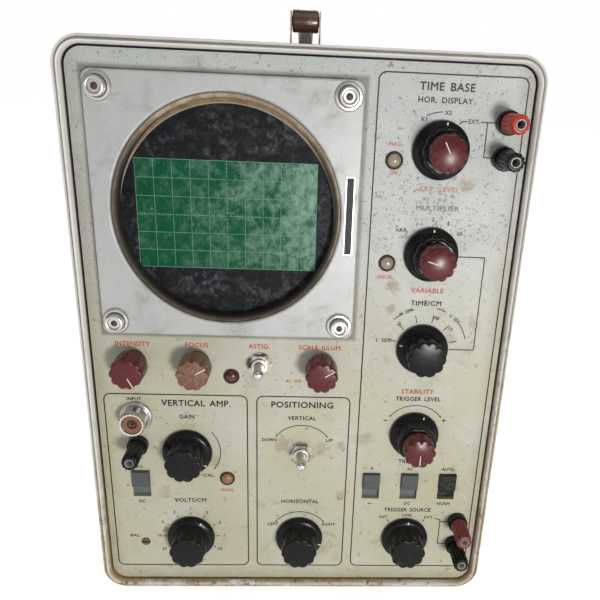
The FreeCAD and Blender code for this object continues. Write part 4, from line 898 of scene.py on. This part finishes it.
knobShape = dict(shaft=3.175, thinShaft=1.5875, back=-12.0, thinBack=-16.0, lobes=10, deep=1.25,
                 skirt=15.5, skirtBack=0.8, recess=8.4, recessTall=5.2, cap=11.4, capProud=19.5,
                 outer=12.0, outerProud=15.0, red=9.5, redBack=4.9, redProud=20.5, inner=9.7,
                 innerBack=15.4, innerProud=27.0)
pointer = dict(wide=0.75, thick=0.16, start=12.4, end=14.7)
blackKnobs = {
    # body: centre, clock angle of the white line on the skirt
    "gain_knob": ((53.8, 231.5), 125), "volts_per_division_knob": ((53.8, 295.5), 30),
    "horizontal_position_knob": ((125.3, 295.5), 104), "time_per_division_knob": ((196.3, 158.7), -77),
    "trigger_source_knob": ((196.3, 295.5), 5)}
outerKnobs = {"display_knob": ((196.3, 44), 7), "multiplier_knob": ((196.3, 100.9), 0),
              "trigger_level_knob": ((196.3, 216.8), 19)}
redKnobs = {
    # body: centre, clock angle of the line on the face, finish
    "intensity_knob": ((24.2, 171.2), 153, "red"), "focus_knob": ((61.6, 171.2), 59, "faded"),
    "scale_illumination_knob": ((135.9, 171.2), 57, "red")}
innerKnobs = {"external_gain_knob": ((196.3, 44), -28), "variable_time_knob": ((196.3, 100.9), -73),
              "stability_knob": ((196.3, 216.8), 180)}


def domed(radius, proud, sag=0.9):
    # the front of a knob from its middle to its rounded rim
    places = [(reach * (radius - 1.1), proud - sag * 0.95 * reach * reach)
              for reach in (0, 0.15, 0.3, 0.45, 0.6, 0.75, 0.88, 1.0)]
    return places + [(radius - 1.1 + 1.1 * math.sin(math.radians(a)),
                      proud - sag * 0.95 - 1.1 + 1.1 * math.cos(math.radians(a))) for a in (25, 50, 75, 90)]


def skirtSide(radius, k):
    return [(radius, 8.5), (radius + 0.1, 6.4), (radius + 0.35, 5.4), (radius + 0.9, 4.75),
            (k["skirt"] - 1.9, 4.35), (k["skirt"] - 0.9, 3.95), (k["skirt"] - 0.25, 3.2),
            (k["skirt"], 2.3), (k["skirt"], 1.1), (k["skirt"] - 0.3, k["skirtBack"]),
            (k["recess"], k["skirtBack"]), (k["recess"], k["recessTall"])]


def mould(body, centre, profile, finish, *lobes):
    bm = spinShape(profile, centre, 120)
    scallop(bm, centre, knobShape["lobes"], *lobes)
    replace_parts(finishPiece(body + "_moulding", bm, finish, body, smooth=38), body)


def makeKnobs():
    k = knobShape
    for body, (centre, _) in blackKnobs.items():
        profile = domed(k["cap"], k["capProud"], 0.7) + [(k["cap"], 14), (k["cap"], 11)]
        profile += skirtSide(k["cap"], k)
        profile += [(k["shaft"], k["recessTall"]), (k["shaft"], k["back"]), (0, k["back"])]
        mould(body, centre, profile, "black", k["deep"], k["cap"] - 3.0, 5.4, 9.5)
    for body, (centre, _) in outerKnobs.items():
        top, bore = k["outerProud"], k["thinShaft"] + 0.05
        profile = [(bore, top - 0.3), (k["inner"] - 1.5, top - 0.3), (k["outer"] - 1.6, top),
                   (k["outer"] - 0.7, top - 0.15), (k["outer"] - 0.15, top - 0.6), (k["outer"], top - 1.4),
                   (k["outer"], 11)]
        profile += skirtSide(k["outer"], k)
        profile += [(k["shaft"], k["recessTall"]), (k["shaft"], k["back"]), (bore, k["back"]),
                    (bore, top - 0.3)]
        mould(body, centre, profile, "black", 0.8, 8.0, 5.4, 8.5)
    for body, (centre, _, finish) in redKnobs.items():
        low, radius = k["redBack"], k["red"]
        profile = domed(radius, k["redProud"], 0.6)
        profile += [(radius, 14), (radius, 10), (radius + 0.1, 7.5), (radius, low + 0.5),
                    (radius - 0.5, low), (k["shaft"], low), (k["shaft"], k["back"]), (0, k["back"])]
        mould(body, centre, profile, finish, k["deep"], radius - 2.6, 8.5, 15.0)
    for body, (centre, _) in innerKnobs.items():
        low, radius = k["innerBack"], k["inner"]
        profile = domed(radius, k["innerProud"], 1.3)
        profile += [(radius, 21), (radius, 18.5), (radius, low + 0.5), (radius - 0.5, low),
                    (k["thinShaft"], low), (k["thinShaft"], k["thinBack"]), (0, k["thinBack"])]
        mould(body, centre, profile, "red", k["deep"], radius - 2.6, 16.5, 22.0)


def makePointers():
    for body, (centre, angle) in {**blackKnobs, **outerKnobs}.items():
        bm = bmesh.new()
        addBar(bm, around(centre, pointer["start"], angle), around(centre, pointer["end"], angle),
               pointer["wide"], 4.34, pointer["thick"] * 2.5)
        finishPiece(body + "_mark", bm, "white", body)
    marks = [(body, centre, angle, 2.2, 8.9, knobShape["redProud"] - 0.25)
             for body, (centre, angle, _) in redKnobs.items()]
    marks += [(body, centre, angle, 0.4, 6.6, knobShape["innerProud"] - 0.22)
              for body, (centre, angle) in innerKnobs.items()]
    for body, centre, angle, start, end, top in marks:
        bm = bmesh.new()
        addBar(bm, around(centre, start, angle), around(centre, end, angle), pointer["wide"] * 0.7, top, 0.6)
        finishPiece(body + "_mark", bm, "white", body)


# ---- shafts, posts, connector and lamps ----

posts = {
    # body: centre, finish
    "post_cap_time_upper": ((231, 28.5), "redPost"), "post_cap_time_ground": ((231, 47), "black"),
    "post_cap_trigger": ((231, 282), "dullRed"), "post_cap_trigger_ground": ((231, 300), "black"),
    "post_cap_input_ground": ((23.5, 226.7), "black")}
postShape = dict(radius=5.0, low=5.4, proud=24.0, bore=3.45, sleeve=2.75, hole=2.05, stud=12.9,
                 ribs=12, deep=1.5)
bareShafts = {"astigmatism_shaft": (99, 171.2), "vertical_position_shaft": (125.3, 231.5)}
lamps = [((82, 179.2), "pilot"), ((78.2, 250.8), "amber"), ((171.5, 50), "lens"), ((171.5, 106.7), "lens")]


def makePosts():
    p = postShape
    for body, (centre, finish) in posts.items():
        top = p["proud"]
        profile = [(p["sleeve"], top - 1.0), (p["sleeve"], top - 0.5), (p["sleeve"] + 0.4, top),
                   (p["radius"] - 1.0, top), (p["radius"] - 0.3, top - 0.35), (p["radius"], top - 1.1),
                   (p["radius"], 18), (p["radius"], 12), (p["radius"], p["low"] + 1.2),
                   (p["radius"] + 0.25, p["low"] + 0.5), (p["radius"], p["low"]), (p["bore"], p["low"]),
                   (p["bore"], p["stud"]), (p["sleeve"], p["stud"]), (p["sleeve"], top - 1.0)]
        bm = spinShape(profile, centre, 112)
        scallop(bm, centre, p["ribs"], p["deep"], 3.9, p["low"] + 0.6, p["low"] + 2.2, 0.9)
        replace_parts(finishPiece(body + "_moulding", bm, finish, body, smooth=40), body)
        sleeve = [(p["hole"], top - 0.2), (p["hole"] + 0.2, top + 0.05), (p["sleeve"] - 0.15, top + 0.05),
                  (p["sleeve"], top - 0.15), (p["sleeve"], p["stud"]), (p["hole"], p["stud"]),
                  (p["hole"], top - 0.2)]
        finishPiece(body + "_sleeve", spinShape(sleeve, centre, 40), "sleeve", body, smooth=40)


def makeShafts():
    for body, centre in bareShafts.items():
        end = 18.5
        profile = [(0, end), (1.3, end - 0.15), (2.2, end - 0.7), (2.8, end - 1.5), (3.05, end - 2.6),
                   (3.1, end - 4), (2.95, 9), (2.9, 5), (knobShape["shaft"], 4),
                   (knobShape["shaft"], knobShape["back"]), (0, knobShape["back"])]
        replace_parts(finishPiece(body + "_turned", spinShape(profile, centre, 48), "plated", body,
                                smooth=45), body)


def makeLamps():
    for i, (centre, finish) in enumerate(lamps):
        ring = [(3.7, 0.2), (3.8, 1.0), (4.15, 1.25), (4.7, 0.95), (4.9, 0.3), (4.9, 0.02),
                (3.7, 0.02), (3.7, 0.2)]
        finishPiece("lamp_ring_%d" % (i + 1), spinShape(ring, centre, 56), "pit", smooth=45)
        dome = [(0, 2.5), (1.2, 2.42), (2.3, 2.1), (3.2, 1.5), (3.7, 0.8), (3.75, 0.1), (4.3, 0.0),
                (4.3, -2.2), (5.8, -2.2), (5.8, -21.5), (0, -21.5)]
        shape = spinShape(dome, centre, 56)
        piece = finishPiece("lamp_lens_%d" % (i + 1), shape, finish, smooth=60)
    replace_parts(piece, "indicator_lamps")


def makeConnector():
    centre = (23.5, 207)
    neck, radius, bore, proud, back = 7.5, 7.94, 5.9, 13.0, -8.0
    flange = [(neck + 0.05, 0.02), (10, 0.02), (10.1, 0.7), (9.9, 1.5), (9.2, 2.3), (8.8, 2.4), (8.4, 1.7),
              (neck + 0.05, 1.7), (neck + 0.05, 0.02)]
    finishPiece("connector_flange", spinShape(flange, centre, 72), "satin", smooth=40)
    profile = [(bore, proud - 1.0), (bore + 0.35, proud - 0.1), (radius - 0.6, proud),
               (radius - 0.1, proud - 0.5), (radius, proud - 1.2), (radius, proud - 3.0),
               (radius - 0.2, proud - 3.2)]
    for i in range(6):
        level = proud - 3.9 - i * 1.1
        profile += [(neck - 0.1, level + 0.45), (radius - 0.15, level), (neck - 0.1, level - 0.45)]
    profile += [(neck, 1.5), (neck, back), (bore, back), (bore, proud - 1.0)]
    shell = spinShape(profile, centre, 144)
    scallop(shell, centre, 20, 0.9, 6.3, proud - 3.1, proud - 1.4, 1.2)
    piece = finishPiece("connector_shell", shell, "plated", smooth=35)
    insert = [(0.9, proud - 2.4), (1.0, proud - 1.6), (1.4, proud - 1.5), (1.5, proud - 2.6),
              (2.9, proud - 2.6), (3.1, proud - 1.3), (5.0, proud - 0.9), (bore - 0.05, proud - 1.1),
              (bore - 0.05, back + 0.2), (0, back + 0.2),
              (0, proud - 9), (0.9, proud - 9), (0.9, proud - 2.4)]
    finishPiece("connector_insert", spinShape(insert, centre, 64), "copper", smooth=40)
    # a dark ring laid on the floor of the insert's groove: painted shade for a deep hole
    pit = [(1.52, proud - 2.55), (2.88, proud - 2.55), (2.88, proud - 2.45), (1.52, proud - 2.45),
           (1.52, proud - 2.55)]
    finishPiece("connector_pit_shade", spinShape(pit, centre, 40), "pit")
    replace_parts(piece, "input_connector")


def joinedTurnings(profile, centres, steps=48):
    # the same turned shape at several places, as one mesh
    bm = bmesh.new()
    for centre in centres:
        one = spinShape(profile, centre, steps)
        mesh = bpy.data.meshes.new("turning")
        one.to_mesh(mesh)
        one.free()
        bm.from_mesh(mesh)
        bpy.data.meshes.remove(mesh)
    return bm


thumbNut = dict(across=(17.5, 145.3), down=(19.0, 144.0), face=4.02, top=11.0)


def makeThumbNuts():
    face, top = thumbNut["face"], thumbNut["top"]
    centres = [(x, y) for x in thumbNut["across"] for y in thumbNut["down"]]
    nut = [(0, top - 1.4), (3.1, top - 1.4), (3.3, top - 0.6), (3.6, top - 0.15), (4.0, top), (4.4, top),
           (4.9, top - 0.3), (5.2, top - 0.9), (5.2, face + 2.7), (5.0, face + 2.0), (5.5, face + 1.9),
           (5.7, face + 2.3), (6.7, face + 2.2), (7.25, face + 1.7), (7.5, face + 1.0), (7.5, face),
           (0, face)]
    piece = finishPiece("thumb_nuts", joinedTurnings(nut, centres, 64), "satin", smooth=32)
    # the stud ends take the dark pit finish: painted shade for the hollow in each nut
    stud = [(0, top - 0.9), (0.8, top - 0.95), (1.4, top - 1.1), (1.8, top - 1.35), (1.8, top - 1.6),
            (0, top - 1.6)]
    finishPiece("shaded_stud_ends", joinedTurnings(stud, centres, 32), "pit", smooth=50)
    # a dark ring in the crease round each nut: painted shade there, with grime
    grime = [(5.01, face + 2.0), (5.01, face + 2.35), (5.66, face + 2.3), (5.66, face + 2.0),
             (5.01, face + 2.0)]
    finishPiece("nut_groove_shade_and_grime", joinedTurnings(grime, centres, 48), "pit")
    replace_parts(piece, "bezel_thumb_nuts")


def makeSeal():
    # the rolled lip of the ring between the bezel and the screen
    low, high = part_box("light_seal")
    front, back = (panelFace - low.y) / mm, (panelFace - high.y) / mm
    centre, outer = sealShape["centre"], sealShape["outer"]
    profile = [(outer, back), (outer, front - 0.6), (outer - 0.3, front - 0.1), (outer - 0.9, front),
               (outer - 1.7, front - 0.25), (outer - 2.4, front - 0.9), (outer - 2.8, front - 1.9),
               (outer - 2.9, front - 3.2), (outer - 2.6, back), (outer, back)]
    piece = finishPiece("seal_lip", spinShape(profile, centre, 160), "seal", smooth=50)
    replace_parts(piece, "light_seal")


# ---- the rim round the panel ----

rimShape = dict(wide=244, tall=330, corner=10, segments=14)
rimProfile = [
    # outwards from the panel's opening, out towards the user
    (-2.9, -3.05), (0.0, -3.05), (0.3, 0.2), (0.35, 0.9), (0.5, 1.8), (0.8, 2.9), (1.15, 3.8), (1.55, 4.4),
    (2.0, 4.7), (2.4, 4.55), (2.75, 3.9), (3.05, 3.1), (3.25, 2.55), (3.45, 2.35), (3.7, 2.5), (4.0, 2.95),
    (4.3, 3.2), (4.6, 3.15), (4.85, 2.85), (5.0, 2.2), (5.0, -15.9), (-2.9, -15.9)]


def makeRim():
    bm = bmesh.new()
    halfWide, halfTall = rimShape["wide"] / 2, rimShape["tall"] / 2
    loops = []
    for away, out in rimProfile:
        radius = rimShape["corner"] + away
        x, y = halfWide + away - radius, halfTall + away - radius
        verts = []
        for side, level, begin in ((1, -1, 0), (1, 1, 90), (-1, 1, 180), (-1, -1, 270)):
            for i in range(rimShape["segments"] + 1):
                spot = around((halfWide + side * x, halfTall + level * y), radius,
                              begin + 90 * i / rimShape["segments"])
                verts.append(bm.verts.new(onPanel(*spot, out)))
        loops.append([bm.edges.new(pair) for pair in zip(verts, verts[1:] + verts[:1])])
    for first, second in zip(loops, loops[1:] + loops[:1]):
        bmesh.ops.bridge_loops(bm, edges=first + second)
    bmesh.ops.recalc_face_normals(bm, faces=bm.faces[:])
    piece = finishPiece("rim_moulding", bm, "rim", smooth=35)
    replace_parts(piece, "front_rim")
    seam = bmesh.new()
    places = [(0.5, 1.85), (1.15, 3.85), (2.0, 4.75), (2.75, 3.95), (3.45, 2.4), (4.3, 3.25), (5.02, 2.3)]
    for (a, high), (b, low) in zip(places, places[1:]):
        made = bmesh.ops.create_cube(seam, size=1.0)["verts"]
        start, end = onPanel(120.5, 330 + a, high), onPanel(120.5, 330 + b, low)
        run = end - start
        shape = (Matrix.Translation((start + end) / 2) @ Matrix.Rotation(math.atan2(run.z, run.y), 4, "X")
                 @ Matrix.Diagonal((0.35 * mm, run.length * 1.1, 0.12 * mm, 1)))
        bmesh.ops.transform(seam, matrix=shape, verts=made)
    finishPiece("rim_seam", seam, "pit")


# ---- the carrying strap ----

strap = dict(wide=14.0, thick=3.6, eye=5.6, hole=2.7, corner=0.9, fold=46.0, foldThick=1.9,
             stitchIn=2.0, stitchStep=4.6, stitchLong=3.0, rivet=3.2)


def ringSection(bm, x, y, z, wide, inner, outer, corner):
    # a rounded section across the strap, its radii measured up from the turning line
    half, places = wide / 2, []
    for cx, cr, begin in ((half - corner, outer - corner, 0), (-half + corner, outer - corner, 90),
                          (-half + corner, inner + corner, 180), (half - corner, inner + corner, 270)):
        for a in (0, 30, 60, 90):
            turn = math.radians(begin + a)
            places.append((cx + corner * math.cos(turn), cr + corner * math.sin(turn)))
    verts = [bm.verts.new(Vector((x + a * mm, y, z + r * mm))) for a, r in places]
    return verts, [bm.edges.new(pair) for pair in zip(verts, verts[1:] + verts[:1])]


def bendStrip(bm, middle, start, end, wide, inner, outer, corner, steps):
    # a strip bent round a line across the cabinet, between two angles from straight up
    verts, edges = ringSection(bm, middle.x, middle.y, middle.z, wide, inner, outer, corner)
    turn = (Matrix.Translation(middle) @ Matrix.Rotation(math.radians(start), 4, "X")
            @ Matrix.Translation(-middle))
    bmesh.ops.transform(bm, matrix=turn, verts=verts)
    first = bmesh.ops.contextual_create(bm, geom=edges)["faces"]
    bmesh.ops.delete(bm, geom=first, context="FACES_ONLY")
    made = bmesh.ops.spin(bm, geom=verts + edges, cent=middle, axis=(1, 0, 0), dvec=(0, 0, 0),
                          angle=math.radians(end - start), steps=steps, use_merge=False)
    last = [e for e in made["geom_last"] if isinstance(e, bmesh.types.BMEdge)]
    bmesh.ops.contextual_create(bm, geom=edges)
    bmesh.ops.contextual_create(bm, geom=last)


def makeStrap():
    low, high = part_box("handle_strap")
    x, level = (low.x + high.x) / 2, low.z + 5.5 * mm
    front, back = low.y + 5.5 * mm, high.y - 5.5 * mm
    half, rise = (back - front) / 2, 20 * mm
    bend = (half * half + rise * rise) / (2 * rise)
    middle = Vector((x, (front + back) / 2, level + rise - bend))
    reach = math.degrees(math.asin(half / bend))
    top, thick = bend / mm, strap["thick"]
    leather = bmesh.new()
    bendStrip(leather, middle, reach, -reach, strap["wide"], top - thick / 2, top + thick / 2,
              strap["corner"], 60)
    fold = math.degrees(strap["fold"] * mm / bend)
    for side in (-1, 1):
        a, b = side * reach * 0.985, side * (reach - fold)
        bendStrip(leather, middle, max(a, b), min(a, b), strap["wide"] - 0.6,
                  top - thick / 2 - strap["foldThick"], top - thick / 2 - 0.05, 0.7, 12)
        eye = Vector((x, front if side < 0 else back, level))
        bendStrip(leather, eye, 0, 360, strap["wide"], strap["hole"], strap["eye"], 0.9, 40)
    bmesh.ops.recalc_face_normals(leather, faces=leather.faces[:])
    piece = finishPiece("strap_leather", leather, "leather", smooth=40)
    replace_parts(piece, "handle_strap")
    thread = bmesh.new()
    count = int(2 * math.radians(reach) * bend / mm / strap["stitchStep"])
    for side in (-1, 1):
        for i in range(2, count - 1):
            angle = math.radians(reach - 2 * reach * i / count)
            made = bmesh.ops.create_uvsphere(thread, u_segments=8, v_segments=5, radius=1.0)["verts"]
            shape = (Matrix.Translation(middle) @ Matrix.Rotation(angle, 4, "X")
                     @ Matrix.Translation((side * (strap["wide"] / 2 - strap["stitchIn"]) * mm, 0,
                                           (top + thick / 2 + 0.05) * mm))
                     @ Matrix.Diagonal((0.35 * mm, strap["stitchLong"] / 2 * mm, 0.3 * mm, 1)))
            bmesh.ops.transform(thread, matrix=shape, verts=made)
    finishPiece("strap_stitching", thread, "thread", smooth=60)
    rivets = bmesh.new()
    for side in (-1, 1):
        angle = math.radians(side * (reach - fold * 0.55))
        made = bmesh.ops.create_uvsphere(rivets, u_segments=24, v_segments=12, radius=1.0)["verts"]
        shape = (Matrix.Translation(middle) @ Matrix.Rotation(angle, 4, "X")
                 @ Matrix.Translation((0, 0, (top + thick / 2) * mm))
                 @ Matrix.Diagonal((strap["rivet"] * mm, strap["rivet"] * mm, 1.1 * mm, 1)))
        bmesh.ops.transform(rivets, matrix=shape, verts=made)
    finishPiece("strap_rivets", rivets, "bracket", smooth=60)


plate = dict(across=148.2, down=80.5, wide=5.2, tall=43, thick=0.9, proud=4.0, edge=0.7, sunk=0.3,
             step=0.15)


def makeNameplate():
    # a plain plate with no lettering on the bezel's right margin: a raised silver edge, a dark field
    bm = bmesh.new()
    made = bmesh.ops.create_cube(bm, size=1.0)["verts"]
    shape = (Matrix.Translation(onPanel(plate["across"], plate["down"], plate["proud"] + plate["thick"] / 2))
             @ Matrix.Diagonal((plate["wide"] * mm, plate["thick"] * mm, plate["tall"] * mm, 1)))
    bmesh.ops.transform(bm, matrix=shape, verts=made)
    front = min(bm.faces, key=lambda face: face.calc_center_median().y)
    bmesh.ops.inset_region(bm, faces=[front], thickness=plate["edge"] * mm, depth=0, use_even_offset=True)
    bmesh.ops.inset_region(bm, faces=[front], thickness=plate["step"] * mm, depth=-plate["sunk"] * mm)
    front.material_index = 1
    piece = finishPiece("blank_plate", bm, "plate")
    piece.data.materials.append(finishes["field"])


def main():
    makeFinishes()
    print("finishes made")
    paintFrame()
    makeCamera()
    makeStudio()
    makeLegends()
    makeScreenRules()
    makeNameplate()
    makeRim()
    print("marks made")
    makeKnobs()
    makePointers()
    print("knobs made")
    makePosts()
    makeShafts()
    makeLamps()
    makeConnector()
    makeThumbNuts()
    makeSeal()
    print("fittings made")
    makeStrap()
    print("strap made")


main()
